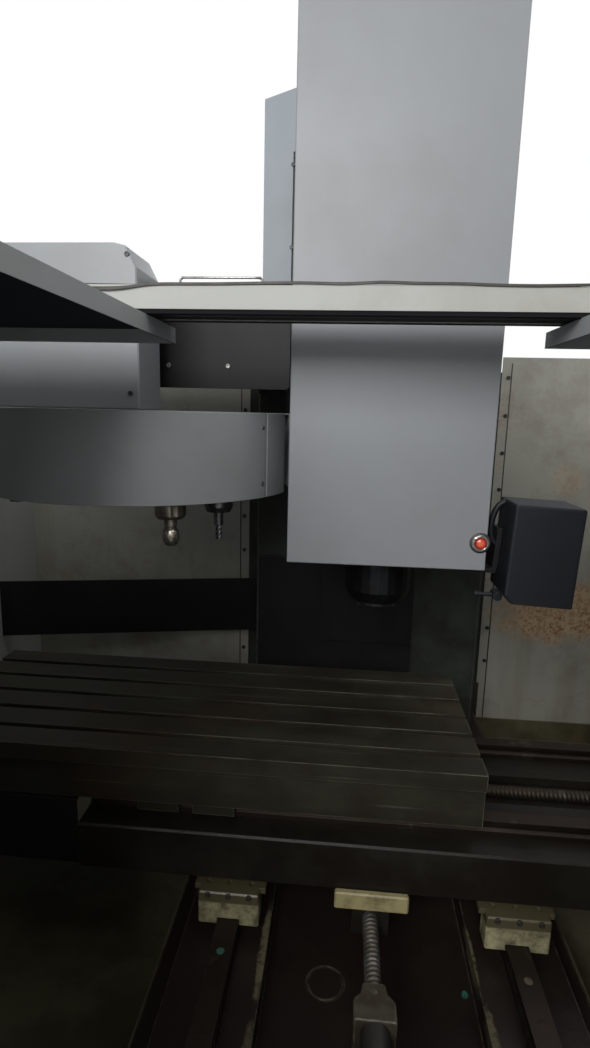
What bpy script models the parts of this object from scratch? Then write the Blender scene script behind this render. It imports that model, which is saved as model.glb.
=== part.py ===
"""CNC machining center: a vertical spindle over a sliding table, a side carousel and sliding doors.

Metres, +Z up. The origin is on the floor straight below the spindle axis, +X is the operator's
right and -Y is the front, where the doors are. The model shows the machine at one working place.
"""
import math

import bmesh
import bpy
from mathutils import Matrix

# Clearances
GAP = 0.0003
RUN = 0.0005
SKIN = 0.0025

# Base, from the floor up
FOOT_HEIGHT = 0.050
FOOT_RADIUS = 0.050
BASE_HEIGHT = 0.405
BASE_WIDTH = 0.860
BED_FRONT = 0.850
BASE_BACK = 1.080
CHANNEL_WIDTH = 0.420
CHANNEL_DEPTH = 0.055
CHANNEL_BACK = 0.480
LEDGE_OUTER = 0.390
SHOULDER_DEPTH = 0.040
FORK_WIDTH = 0.180
FORK_HEIGHT = 0.070
FORK_SPACING = 0.900
PLUG_RADIUS = 0.039
PLUG_PLACE = (-0.087, -0.375)

# Guides: rail and running block sections
Y_RAIL_SPACING = 0.588
Y_RAIL_WIDTH = 0.045
Y_RAIL_HEIGHT = 0.045
Y_RAIL_FRONT = 0.700
Y_RAIL_BACK = 0.490
Y_GUIDE_HEIGHT = 0.125
X_RAIL_SPACING = 0.300
X_RAIL_WIDTH = 0.034
X_RAIL_HEIGHT = 0.034
X_GUIDE_HEIGHT = 0.055
Z_RAIL_SPACING = 0.440
Z_RAIL_WIDTH = 0.035
Z_RAIL_HEIGHT = 0.035
Z_GUIDE_DEPTH = 0.065
TRUCK_WALL = 0.033
TRUCK_SKIRT = 0.026

# Saddle and table, with where they stand from the spindle axis
TABLE_LENGTH = 1.219
TABLE_WIDTH = 0.457
TABLE_THICKNESS = 0.120
TABLE_LIP = 0.035
TABLE_LIP_STEP = 0.010
TABLE_PLACE = (-0.397, -0.1015)
SLOT_COUNT = 5
SLOT_PITCH = 0.080
SLOT_WIDTH = 0.016
SLOT_NECK = 0.018
SLOT_FOOT_WIDTH = 0.028
SLOT_FOOT = 0.013
SADDLE_LENGTH = 1.240
SADDLE_THICKNESS = 0.105
SADDLE_TROUGH_WIDTH = 0.110
SADDLE_TROUGH_DEPTH = 0.050
SADDLE_END = 0.040
SADDLE_EDGE = 0.004
X_TRUCK_LENGTH = 0.090
X_TRUCK_OFFSET = 0.060
Y_TRUCK_LENGTH = 0.116
Y_TRUCK_FRONT = 0.034
X_COVER_SIDE_ROOM = 0.170
X_COVER_CLEARANCE = 0.005
X_MOTOR_WIDTH = 0.085
X_MOTOR_LENGTH = 0.200
WIPER_WIDTH = 0.127
WIPER_FLANGE_WIDTH = 0.150
WIPER_LENGTH = 0.048
WIPER_DROP = 0.020
WIPER_FLANGE = 0.012
BUMPER_WIDTH = 0.150
BUMPER_HEIGHT = 0.038
BUMPER_THICKNESS = 0.015

# Ball screws
SCREW_RADIUS = 0.016
JOURNAL_RADIUS = 0.010
NUT_WALL = 0.022
Y_SCREW_DROP = 0.060
X_SCREW_DROP = 0.007
BRACKET_BACK = 0.495
BRACKET_LENGTH = 0.070
BRACKET_WIDTH = 0.074
BRACKET_NECK_WIDTH = 0.048
BRACKET_TOP = 0.025
REAR_BEARING_WIDTH = 0.100
REAR_BEARING_LENGTH = 0.040
Y_MOTOR_WIDTH = 0.090
Y_MOTOR_LENGTH = 0.160
COUPLING_RADIUS = 0.025
COUPLING_LENGTH = 0.075

# Column
COLUMN_FACE = 0.520
COLUMN_WIDTH = 0.742
COLUMN_TOP_WIDTH = 0.704
COLUMN_DEPTH = 0.530
COLUMN_HEIGHT = 1.845
COLUMN_NECK = 1.250
EAR_WIDTH = 0.940
EAR_DEPTH = 0.045
EAR_SETBACK = 0.2353
RECESS_WIDTH = 0.300
RECESS_DEPTH = 0.150
RECESS_BOTTOM = 0.300
RECESS_TOP_WALL = 0.030
Z_SCREW_SETBACK = 0.060
COLUMN_COVER_WIDTH = 0.724
COLUMN_COVER_BOTTOM = 0.895
COLUMN_COVER_SIDE = 1.580
COLUMN_COVER_RISE = 0.064
COLUMN_COVER_FLAT = 0.320
COLUMN_COVER_MOUTH = 0.550
WAY_COVER_THICKNESS = 0.0227
WAY_COVER_RIGHT = 0.150
WAY_COVER_LEFT = 0.360
WAY_COVER_BOTTOM = 0.300
Z_RAIL_START = 0.220
Z_RAIL_LENGTH = 1.200
Z_MOTOR_WIDTH = 0.110
Z_MOTOR_HEIGHT = 0.145

# Head, measured up from the table top and from the spindle axis
HEAD_BOTTOM = 0.380
HEAD_WIDTH = 0.280
HEAD_FRONT = 0.110
HEAD_ARM_HEIGHT = 0.540
HEAD_BACK = 0.455
HEAD_PLATE = 0.055
CARRIAGE_WIDTH = 0.540
CARRIAGE_LIFT = 0.060
CARRIAGE_HEIGHT = 0.530
Z_TRUCK_LENGTH = 0.110
Z_NUT_LIFT = 0.160
Z_NUT_HEIGHT = 0.100
Z_NUT_WIDTH = 0.100
COVER_HALF_WIDTH = 0.199
COVER_FRONT = 0.220
COVER_BACK = 0.250
COVER_HEIGHT = 1.120
COVER_BAR = 0.030
APRON_DROP = 0.440
APRON_WIDTH = 0.300
APRON_THICKNESS = 0.005
APRON_OFFSET = 0.0325
SPINDLE_BORE = 0.060
HOUSING_RADIUS = 0.078
HOUSING_DROP = 0.130
SPINDLE_RADIUS = 0.044
SPINDLE_NOSE_RADIUS = 0.050
SPINDLE_NOSE = 0.015
TAPER_MOUTH = 0.02225
TAPER_ROOT = 0.0125
TAPER_DEPTH = 0.070
CARTRIDGE_LENGTH = 0.360
MOTOR_RADIUS = 0.095
MOTOR_HEIGHT = 0.420

# Tool release button on the head cover
BUTTON_PLACE = (0.1852, 0.0564)
BUTTON_RADIUS = 0.011
BEZEL_RADIUS = 0.017
BEZEL_DEPTH = 0.008
BUTTON_LENGTH = 0.024

# Coolant nozzle box beside the head
BOX_LEFT = 0.231
BOX_WIDTH = 0.130
BOX_HEIGHT = 0.194
BOX_DEPTH = 0.120
BOX_FRONT = 0.270
BOX_BOTTOM = 0.054
BOX_TILT = 2.6
BOX_CHAMFER = 0.014
BOX_FLANGE_LOW = 0.047
BOX_FLANGE_HIGH = 0.120
NOZZLE_HUB_RADIUS = 0.009
NOZZLE_HUB_LENGTH = 0.030
NOZZLE_RADIUS = 0.004
NOZZLE_LENGTH = 0.040
BRACKET_PLATE = 0.006

# Tool changer at the left, measured from the carousel axis
CAROUSEL_PLACE = (-0.570, 0.0)
CAROUSEL_BOTTOM = 0.503
DRUM_RADIUS = 0.350
DRUM_HEIGHT = 0.177
DRUM_WALL = 0.003
DRUM_SLOT = 0.116
PANEL_SEAM = 25.0
PANEL_SEAM_WIDTH = 0.004
DISC_RADIUS = 0.300
DISC_THICKNESS = 0.010
DISC_LIFT = 0.037
DISC_HUB_RADIUS = 0.025
BEARING_RADIUS = 0.050
BEARING_HEIGHT = 0.060
POCKET_COUNT = 16
POCKET_RADIUS = 0.280
POCKET_START = -38.4
GROOVE_RADIUS = 0.0275
FLANGE_RADIUS = 0.0318
DRIVE_BOX_SIDE_ROOM = 0.170
DRIVE_BOX_RIGHT = 0.020
DRIVE_BOX_FRONT = 0.080
DRIVE_BOX_DEPTH = 0.154
DRIVE_BOX_HEIGHT = 0.3517
DRIVE_BOX_CHAMFER = 0.050
BRACKET_FACE = 0.170
TC_PLATE = 0.012
TC_PLATE_SIDE_ROOM = 0.220
TC_PLATE_RIGHT = 0.239
TC_PLATE_BOTTOM = 0.740
TC_PLATE_HEIGHT = 0.260
TC_RAIL = 0.040
TC_RAIL_DEPTH = 0.020
TC_RAIL_DROP = 0.040
TC_RUNNER_LENGTH = 0.200
TC_ARM_WIDTH = 0.075
TC_ARM_HEIGHT = 0.130

# Enclosure, from the floor and the spindle axis
CASE_WIDTH = 2.600
CASE_WALL = 0.030
CASE_BOTTOM = 0.100
CASE_TOP = 1.745
CASE_FRONT = 0.935
CASE_BACK = 0.800
FRONT_SHEET = 0.020
SILL_HEIGHT = 0.800
SILL_DEPTH = 0.055
SILL_THICKNESS = 0.020
TRACK_HEIGHT = 0.030
TRACK_WIDTH = 0.012
DOORWAY_WIDTH = 1.280
GUARD_TOP = 1.655
REAR_SHEET = 0.003
REAR_INNER = 0.435
REAR_BOTTOM = 0.362
BAND_BOTTOM = 0.745
BAND_HEIGHT = 0.198
BAND_LEFT = 0.500
BAND_RIGHT = 0.700
BAND_THICKNESS = 0.004
TRAY_BOTTOM = 0.330
TRAY_HEIGHT = 0.090
TRAY_FLOOR = 0.012
TRAY_LIP = 0.004
BEAM_FRONT = 0.450
BEAM_DEPTH = 0.140
BEAM_HEIGHT = 0.036
BEAM_LIP = 0.020
GUIDE_STRIP = 0.015

# Doors: folded sheet trays with a front panel and a roof panel
DOOR_LAP = 0.020
DOOR_FRONT = 0.970
DOOR_DEPTH = 0.027
ROOF_BACK = 0.285
ROOF_TOP = 1.689
LEFT_DOOR_OPEN = 0.66721
RIGHT_DOOR_OPEN = 0.41639
WINDOW_WIDTH = 0.420
WINDOW_HEIGHT = 0.480
WINDOW_BOTTOM = 1.040
WINDOW_LAP = 0.012
WINDOW_THICKNESS = 0.005
HANDLE_RADIUS = 0.009
HANDLE_LENGTH = 0.160
HANDLE_REACH = 0.040

# Control cabinet on the column's back
CABINET_WIDTH = 1.000
CABINET_BOTTOM = 0.350
CABINET_HEIGHT = 1.500
CABINET_BACK = 1.300
CABINET_DOOR = 0.030
CABINET_WALL = 0.004

# Operator's pendant
PENDANT_SIDE_ROOM = 0.170
PENDANT_Y = -1.207
PENDANT_WIDTH = 0.300
PENDANT_DEPTH = 0.120
PENDANT_HEIGHT = 0.460
PENDANT_BOTTOM = 1.070
SCREEN_WIDTH = 0.200
SCREEN_HEIGHT = 0.150
SCREEN_DEPTH = 0.004
ARM_RADIUS = 0.020
ARM_BEND = 0.060
ARM_FOOT = 0.045
ARM_FOOT_THICKNESS = 0.010
ARM_SEAT = 0.004
ARM_TOP = 1.830
ESTOP_RADIUS = 0.020
ESTOP_STEM = 0.008
ESTOP_TRAVEL = 0.005
ESTOP_DROP = 0.320
WHEEL_RADIUS = 0.038
WHEEL_DEPTH = 0.018

# Places worked out from the sizes above
BED_TOP = FOOT_HEIGHT + BASE_HEIGHT
CHANNEL_FLOOR = BED_TOP - CHANNEL_DEPTH
SADDLE_BOTTOM = BED_TOP + Y_GUIDE_HEIGHT
SADDLE_TOP = SADDLE_BOTTOM + SADDLE_THICKNESS
TABLE_BOTTOM = SADDLE_TOP + X_GUIDE_HEIGHT
TABLE_TOP = TABLE_BOTTOM + TABLE_THICKNESS
SADDLE_X = 0.0
SADDLE_Y = TABLE_PLACE[1]
SADDLE_FRONT = SADDLE_Y - TABLE_WIDTH / 2
SADDLE_BACK = SADDLE_Y + TABLE_WIDTH / 2
Y_SCREW_Z = SADDLE_BOTTOM - Y_SCREW_DROP
X_SCREW_Z = SADDLE_TOP - X_SCREW_DROP
HEAD_Z = TABLE_TOP + HEAD_BOTTOM
ARM_TOP_Z = HEAD_Z + HEAD_ARM_HEIGHT
COLUMN_FOOT = BED_TOP + GAP
COLUMN_TOP = BED_TOP + COLUMN_HEIGHT
COLUMN_BACK = COLUMN_FACE + COLUMN_DEPTH
RECESS_Z = TABLE_TOP + RECESS_BOTTOM
RECESS_TOP_Z = COLUMN_TOP - RECESS_TOP_WALL
Z_SCREW_Y = COLUMN_FACE + Z_SCREW_SETBACK
Z_RAIL_Z = TABLE_TOP + Z_RAIL_START
CASE_HALF = CASE_WIDTH / 2
CASE_INNER = CASE_HALF - CASE_WALL
X_COVER_LENGTH = CASE_INNER - SADDLE_LENGTH / 2 - X_COVER_SIDE_ROOM
DRIVE_BOX_WIDTH = CASE_INNER - DRIVE_BOX_SIDE_ROOM + CAROUSEL_PLACE[0] + DRIVE_BOX_RIGHT
TC_PLATE_LEFT = CASE_INNER - TC_PLATE_SIDE_ROOM
DOOR_WIDTH = DOORWAY_WIDTH / 2 + DOOR_LAP
DOOR_TRAVEL = CASE_INNER - DOOR_WIDTH
LEFT_DOOR_EDGE = -LEFT_DOOR_OPEN * DOOR_TRAVEL
RIGHT_DOOR_EDGE = RIGHT_DOOR_OPEN * DOOR_TRAVEL
PENDANT_PLACE = (CASE_INNER - PENDANT_SIDE_ROOM, PENDANT_Y)
EAR_FACE = COLUMN_FACE + EAR_SETBACK
DRUM_Z = TABLE_TOP + CAROUSEL_BOTTOM
DRUM_TOP = DRUM_Z + DRUM_HEIGHT
DISC_Z = DRUM_Z + DISC_LIFT
TRUCK_REST_FRONT = SADDLE_FRONT + Y_TRUCK_FRONT

# Colours as (red, green, blue), roughness, metallic
COVER_PAINT = ((0.60, 0.61, 0.61), 0.45, 0.0)
CASE_PAINT = ((0.62, 0.62, 0.57), 0.50, 0.0)
BLUE_PAINT = ((0.52, 0.57, 0.62), 0.45, 0.0)
CASTING_PAINT = ((0.17, 0.19, 0.18), 0.60, 0.0)
BLACK_SHEET = ((0.025, 0.026, 0.028), 0.45, 0.2)
MACHINED_IRON = ((0.22, 0.22, 0.21), 0.40, 0.8)
BRIGHT_STEEL = ((0.62, 0.62, 0.61), 0.25, 1.0)
OILED_STEEL = ((0.16, 0.14, 0.13), 0.40, 0.8)
CREAM_PLASTIC = ((0.66, 0.61, 0.45), 0.60, 0.0)
MOTOR_BLACK = ((0.03, 0.03, 0.03), 0.50, 0.1)
TRAY_PAINT = ((0.16, 0.15, 0.11), 0.60, 0.1)
BOX_BLACK = ((0.012, 0.013, 0.018), 0.40, 0.0)
SIGNAL_RED = ((0.65, 0.06, 0.03), 0.35, 0.0)
CLEAR_SHEET = ((0.55, 0.58, 0.56), 0.15, 0.0)
DARK_PLASTIC = ((0.04, 0.04, 0.045), 0.45, 0.0)

for stale in list(bpy.data.objects):
    bpy.data.objects.remove(stale, do_unlink=True)
PARTS = bpy.data.collections.new("cnc_machining_center")
CUTTERS = bpy.data.collections.new("cutters")
bpy.context.scene.collection.children.link(PARTS)
bpy.context.scene.collection.children.link(CUTTERS)

# Turns that lay a piece drawn along Z, or an outline drawn in XY, along another axis
ALONG = {
    "x": Matrix(((0, 0, 1), (1, 0, 0), (0, 1, 0))),
    "y": Matrix(((1, 0, 0), (0, 0, -1), (0, 1, 0))),
    "z": Matrix.Identity(3),
}


def place_solid(name, mesh, place, axis="z"):
    """Put a mesh in the parts collection at a place, lying along an axis."""
    piece = bpy.data.objects.new(name, mesh)
    piece.matrix_world = Matrix.Translation(place) @ ALONG[axis].to_4x4()
    PARTS.objects.link(piece)
    return piece


def block(name, x, y, z):
    """A box between two limits on each axis."""
    sizes = (x[1] - x[0], y[1] - y[0], z[1] - z[0])
    draft = bmesh.new()
    bmesh.ops.create_cube(draft, size=1.0)
    bmesh.ops.scale(draft, vec=sizes, verts=draft.verts)
    mesh = bpy.data.meshes.new(name)
    draft.to_mesh(mesh)
    draft.free()
    centre = ((x[0] + x[1]) / 2, (y[0] + y[1]) / 2, (z[0] + z[1]) / 2)
    return place_solid(name, mesh, centre)


def round_bar(name, centre, radius, length, axis="z", sides=24, end_radius=None):
    """A cylinder or a cone about its centre, along an axis."""
    draft = bmesh.new()
    far = radius if end_radius is None else end_radius
    bmesh.ops.create_cone(draft, cap_ends=True, segments=sides, radius1=radius, radius2=far, depth=length)
    mesh = bpy.data.meshes.new(name)
    draft.to_mesh(mesh)
    draft.free()
    soften(mesh)
    return place_solid(name, mesh, centre, axis)


def turned(name, profile, place, axis="z", steps=24, closed=False):
    """A turned piece: (radius, height) points down the outer side, closed for one with a bore."""
    points = [(radius, 0.0, height) for radius, height in profile]
    edges = [(i, i + 1) for i in range(len(points) - 1)]
    if closed:
        edges.append((len(points) - 1, 0))
    mesh = bpy.data.meshes.new(name)
    mesh.from_pydata(points, edges, [])
    piece = place_solid(name, mesh, place, axis)
    screw = piece.modifiers.new("turn", "SCREW")
    screw.steps = steps
    screw.render_steps = steps
    screw.use_merge_vertices = True
    screw.merge_threshold = 0.0001
    return piece


def curve_to_solid(name, curve, place, axis):
    """A closed, welded mesh of a curve object, which is then removed."""
    guide = bpy.data.objects.new(name + "_line", curve)
    guide.matrix_world = Matrix.Translation(place) @ ALONG[axis].to_4x4()
    PARTS.objects.link(guide)
    graph = bpy.context.evaluated_depsgraph_get()
    mesh = bpy.data.meshes.new_from_object(guide.evaluated_get(graph))
    bpy.data.objects.remove(guide, do_unlink=True)
    draft = bmesh.new()
    draft.from_mesh(mesh)
    bmesh.ops.remove_doubles(draft, verts=draft.verts, dist=0.00002)
    bmesh.ops.recalc_face_normals(draft, faces=draft.faces)
    draft.to_mesh(mesh)
    draft.free()
    return place_solid(name, mesh, place, axis)


def plate(name, outline, low, high, axis):
    """A flat outline carried along an axis from low to high.

    The outline is (y, z) along x, (x, z) along y and (x, y) along z.
    """
    curve = bpy.data.curves.new(name, "CURVE")
    curve.dimensions = "2D"
    curve.fill_mode = "BOTH"
    curve.extrude = (high - low) / 2
    line = curve.splines.new("POLY")
    line.points.add(len(outline) - 1)
    for point, (u, v) in zip(line.points, outline):
        point.co = (u, v, 0.0, 1.0)
    line.use_cyclic_u = True
    middle = (low + high) / 2
    place = {"x": (middle, 0, 0), "y": (0, middle, 0), "z": (0, 0, middle)}[axis]
    return curve_to_solid(name, curve, place, axis)


def tube(name, route, radius):
    """A round bar along a route, with flat ends."""
    curve = bpy.data.curves.new(name, "CURVE")
    curve.dimensions = "3D"
    curve.bevel_depth = radius
    curve.bevel_resolution = 2
    curve.use_fill_caps = True
    line = curve.splines.new("POLY")
    line.points.add(len(route) - 1)
    for point, place in zip(line.points, route):
        point.co = (*place, 1.0)
    return curve_to_solid(name, curve, (0, 0, 0), "z")


def soften(mesh):
    """Smooth shading with the real edges kept sharp."""
    mesh.shade_smooth()
    mesh.set_sharp_from_angle(angle=math.radians(35))


def bevel(piece, width, segments=1):
    """Round or chamfer a piece's sharp edges."""
    rounding = piece.modifiers.new("edges", "BEVEL")
    rounding.width = width
    rounding.segments = segments
    rounding.limit_method = "ANGLE"
    rounding.angle_limit = math.radians(40)
    return piece


def combine(piece, others, operation):
    """Cut other shapes out of a piece, or join them to it."""
    for other in others:
        step = piece.modifiers.new(operation.lower(), "BOOLEAN")
        step.operation = operation
        step.solver = "EXACT"
        step.object = other
        PARTS.objects.unlink(other)
        CUTTERS.objects.link(other)
        other.hide_render = True
        other.display_type = "WIRE"
    return piece


def cut(piece, *cutters):
    """Cut shapes out of a piece."""
    return combine(piece, cutters, "DIFFERENCE")


def join(piece, *extras):
    """Join shapes to a piece as one casting, weldment or moulding."""
    return combine(piece, extras, "UNION")


def finish(piece, look):
    """Give a piece its own material."""
    colour, roughness, metallic = look
    material = bpy.data.materials.new(piece.name + "_finish")
    material.use_nodes = True
    shader = material.node_tree.nodes["Principled BSDF"]
    shader.inputs["Base Color"].default_value = (*colour, 1.0)
    shader.inputs["Roughness"].default_value = roughness
    shader.inputs["Metallic"].default_value = metallic
    piece.data.materials.clear()
    piece.data.materials.append(material)
    return piece


def axis_at(name, place, parent=None):
    """An empty on a joint's axis, which carries the moving pieces."""
    empty = bpy.data.objects.new(name, None)
    empty.empty_display_size = 0.1
    PARTS.objects.link(empty)
    empty["place"] = place
    if parent is None:
        empty.location = place
    else:
        empty.parent = parent
        empty.location = [place[i] - parent["place"][i] for i in range(3)]
    return empty


def carry(empty, *pieces):
    """Parent pieces to a joint's empty, and their cutters to the pieces."""
    back = Matrix.Translation([-value for value in empty["place"]])
    for piece in pieces:
        piece.parent = empty
        piece.matrix_parent_inverse = back
        for step in piece.modifiers:
            if step.type == "BOOLEAN":
                step.object.parent = empty
                step.object.matrix_parent_inverse = back


def arc(centre, radius, start, end, steps):
    """Points on an arc between two angles in degrees."""
    turns = [math.radians(start + (end - start) * i / steps) for i in range(steps + 1)]
    return [(centre[0] + radius * math.cos(a), centre[1] + radius * math.sin(a)) for a in turns]


def bent(route, radius, steps=5):
    """A route of straight runs with each corner rounded to a radius."""
    smooth = [route[0]]
    for before, corner, after in zip(route, route[1:], route[2:]):
        back = [(b - c) for b, c in zip(before, corner)]
        onward = [(a - c) for a, c in zip(after, corner)]
        back_length = math.sqrt(sum(v * v for v in back))
        onward_length = math.sqrt(sum(v * v for v in onward))
        start = [c + v * radius / back_length for c, v in zip(corner, back)]
        end = [c + v * radius / onward_length for c, v in zip(corner, onward)]
        for i in range(steps + 1):
            t = i / steps
            weights = ((1 - t) ** 2, 2 * t * (1 - t), t ** 2)
            parts = zip(start, corner, end)
            smooth.append(tuple(sum(w * v for w, v in zip(weights, trio)) for trio in parts))
    smooth.append(route[-1])
    return smooth


def rail_section(width, height, grow=0.0):
    """Half of a waisted guide rail section, mirrored: (across, up) from the rail's seat."""
    half = width / 2 + grow
    waist = width * 0.34 + grow
    top = height + grow
    right = [
        (half, 0.0),
        (half, height * 0.30),
        (waist, height * 0.45),
        (waist, height * 0.62),
        (half, height * 0.76),
        (half, top),
    ]
    left = [(-across, up) for across, up in reversed(right)]
    return right + left


def mirrored_x(points):
    """An outline turned about X = 0, in reversed order so that it keeps its sense."""
    return [(-x, y) for x, y in reversed(points)]


# Base: one casting with two guide ledges, the screw's channel and the levelling pads
def make_base():
    half = BASE_WIDTH / 2
    shelf = half + 0.010
    body = block("base_casting", (-half, half), (-BED_FRONT, BASE_BACK), (FOOT_HEIGHT, BED_TOP))
    bevel(body, 0.010)
    channel_half = CHANNEL_WIDTH / 2
    channel = block(
        "base_channel",
        (-channel_half, channel_half),
        (-BED_FRONT - 0.010, CHANNEL_BACK),
        (CHANNEL_FLOOR, BED_TOP + 0.010),
    )
    cut(body, channel)
    for side in (-1, 1):
        across = sorted((side * LEDGE_OUTER, side * shelf))
        shoulder = block(
            "base_shoulder",
            across,
            (-BED_FRONT - 0.010, CHANNEL_BACK),
            (BED_TOP - SHOULDER_DEPTH, BED_TOP + 0.010),
        )
        cut(body, shoulder)
    for side in (-1, 1):
        middle = side * FORK_SPACING / 2
        fork = block(
            "base_fork_notch",
            (-shelf, shelf),
            (middle - FORK_WIDTH / 2, middle + FORK_WIDTH / 2),
            (FOOT_HEIGHT - 0.010, FOOT_HEIGHT + FORK_HEIGHT),
        )
        cut(body, fork)
    ring = [
        (PLUG_RADIUS, 0.010),
        (PLUG_RADIUS, -0.003),
        (PLUG_RADIUS - 0.004, -0.003),
        (PLUG_RADIUS - 0.004, 0.010),
    ]
    cut(body, turned("base_plug_groove", ring, (*PLUG_PLACE, CHANNEL_FLOOR), closed=True))
    bearing = block(
        "base_rear_bearing",
        (-REAR_BEARING_WIDTH / 2, REAR_BEARING_WIDTH / 2),
        (CHANNEL_BACK - REAR_BEARING_LENGTH, CHANNEL_BACK),
        (CHANNEL_FLOOR - 0.010, SADDLE_BOTTOM - 0.025),
    )
    join(body, bearing)
    bore_length = REAR_BEARING_LENGTH + 0.020
    bore_place = (0, CHANNEL_BACK - REAR_BEARING_LENGTH / 2, Y_SCREW_Z)
    cut(body, round_bar("base_rear_bore", bore_place, JOURNAL_RADIUS + RUN, bore_length, "y", 16))
    pad = [
        (0.0, FOOT_HEIGHT + 0.010),
        (0.016, FOOT_HEIGHT + 0.010),
        (0.016, 0.022),
        (FOOT_RADIUS * 0.6, 0.018),
        (FOOT_RADIUS, 0.012),
        (FOOT_RADIUS, 0.0),
        (0.0, 0.0),
    ]
    inset = half - FOOT_RADIUS - 0.020
    front = -BED_FRONT + FOOT_RADIUS + 0.020
    back = BASE_BACK - FOOT_RADIUS - 0.020
    for x in (-inset, inset):
        for y in (front, (front + back) / 2, back):
            join(body, turned("base_foot", pad, (x, y, 0), steps=16))
    finish(body, CASTING_PAINT)


def make_y_rails():
    for side, name in ((-1, "y_rail_left"), (1, "y_rail_right")):
        middle = side * Y_RAIL_SPACING / 2
        section = [(middle + u, BED_TOP + GAP + v) for u, v in rail_section(Y_RAIL_WIDTH, Y_RAIL_HEIGHT)]
        rail = plate(name, section, -Y_RAIL_FRONT, Y_RAIL_BACK, "y")
        finish(rail, OILED_STEEL)


# Column: one casting with a recess for the vertical screw and ears for the rear walls
def make_column():
    half = COLUMN_WIDTH / 2
    top_half = COLUMN_TOP_WIDTH / 2
    neck = BED_TOP + COLUMN_NECK
    right = [
        (half, COLUMN_FOOT),
        (half, neck),
        (top_half, neck + (half - top_half)),
        (top_half, COLUMN_TOP),
    ]
    body = plate("column_casting", right + mirrored_x(right), COLUMN_FACE, COLUMN_BACK, "y")
    bevel(body, 0.006)
    ears = block(
        "column_ears",
        (-EAR_WIDTH / 2, EAR_WIDTH / 2),
        (EAR_FACE, EAR_FACE + EAR_DEPTH),
        (COLUMN_FOOT + 0.050, min(neck - 0.010, CASE_TOP)),
    )
    join(body, ears)
    recess = block(
        "column_recess",
        (-RECESS_WIDTH / 2, RECESS_WIDTH / 2),
        (COLUMN_FACE - 0.010, COLUMN_FACE + RECESS_DEPTH),
        (RECESS_Z, RECESS_TOP_Z),
    )
    cut(body, recess)
    bore = JOURNAL_RADIUS + RUN
    cut(body, round_bar("column_low_bore", (0, Z_SCREW_Y, RECESS_Z), bore, 0.070, "z", 16))
    cut(body, round_bar("column_top_bore", (0, Z_SCREW_Y, COLUMN_TOP), bore, 0.090, "z", 16))
    depth = COLUMN_BACK - EAR_FACE - EAR_DEPTH
    pocket_half = depth * 0.32
    pocket_y = EAR_FACE + EAR_DEPTH + depth / 2
    for side in (-1, 1):
        for level in range(3):
            low = COLUMN_FOOT + 0.120 + level * (neck - COLUMN_FOOT - 0.100) / 3
            high = low + (neck - COLUMN_FOOT) / 3 - 0.110
            across = sorted((side * (half - 0.030), side * (half + 0.010)))
            pocket = block("column_pocket", across, (pocket_y - pocket_half, pocket_y + pocket_half), (low, high))
            cut(body, pocket)
    finish(body, CASTING_PAINT)


def make_column_cover():
    half = COLUMN_COVER_WIDTH / 2
    flat = COLUMN_COVER_FLAT / 2
    low = TABLE_TOP + COLUMN_COVER_BOTTOM
    side = TABLE_TOP + COLUMN_COVER_SIDE
    top = side + COLUMN_COVER_RISE
    outer = [(half, low), (half, side), (flat, top)]
    inner = [(half - SKIN, low - 0.010), (half - SKIN, side - SKIN * 0.8), (flat, top - SKIN)]
    front = COLUMN_FACE - GAP
    back = COLUMN_BACK + 0.010
    cover = plate("column_cover", outer + mirrored_x(outer), front - SKIN, back, "y")
    room = plate("column_cover_room", inner + mirrored_x(inner), front, back + 0.010, "y")
    mouth = block(
        "column_cover_mouth",
        (-COLUMN_COVER_MOUTH / 2, COLUMN_COVER_MOUTH / 2),
        (front - 0.020, front + 0.020),
        (low - 0.010, COLUMN_TOP),
    )
    cut(cover, room, mouth)
    finish(cover, BLUE_PAINT)


def make_way_cover():
    """The fixed black sheet in front of the column, with a taller middle."""
    low = TABLE_TOP - WAY_COVER_BOTTOM
    shoulder = Z_RAIL_Z - 0.005
    top = RECESS_Z

    def outline(inset):
        return [
            (-WAY_COVER_LEFT + inset, low + inset),
            (WAY_COVER_RIGHT - inset, low + inset),
            (WAY_COVER_RIGHT - inset, top - inset),
            (-WAY_COVER_RIGHT + inset, top - inset),
            (-WAY_COVER_RIGHT + inset, shoulder - inset),
            (-WAY_COVER_LEFT + inset, shoulder - inset),
        ]

    back = COLUMN_FACE - GAP
    front = back - WAY_COVER_THICKNESS
    cover = plate("z_way_cover", outline(0.0), front, back, "y")
    cut(cover, plate("z_way_cover_room", outline(SKIN), front + SKIN, back + 0.010, "y"))
    finish(cover, BLACK_SHEET)


def make_z_rails():
    for side, name in ((-1, "z_rail_left"), (1, "z_rail_right")):
        middle = side * Z_RAIL_SPACING / 2
        section = [(middle + u, COLUMN_FACE - GAP - v) for u, v in rail_section(Z_RAIL_WIDTH, Z_RAIL_HEIGHT)]
        rail = plate(name, section, Z_RAIL_Z, Z_RAIL_Z + Z_RAIL_LENGTH, "z")
        finish(rail, OILED_STEEL)


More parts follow.
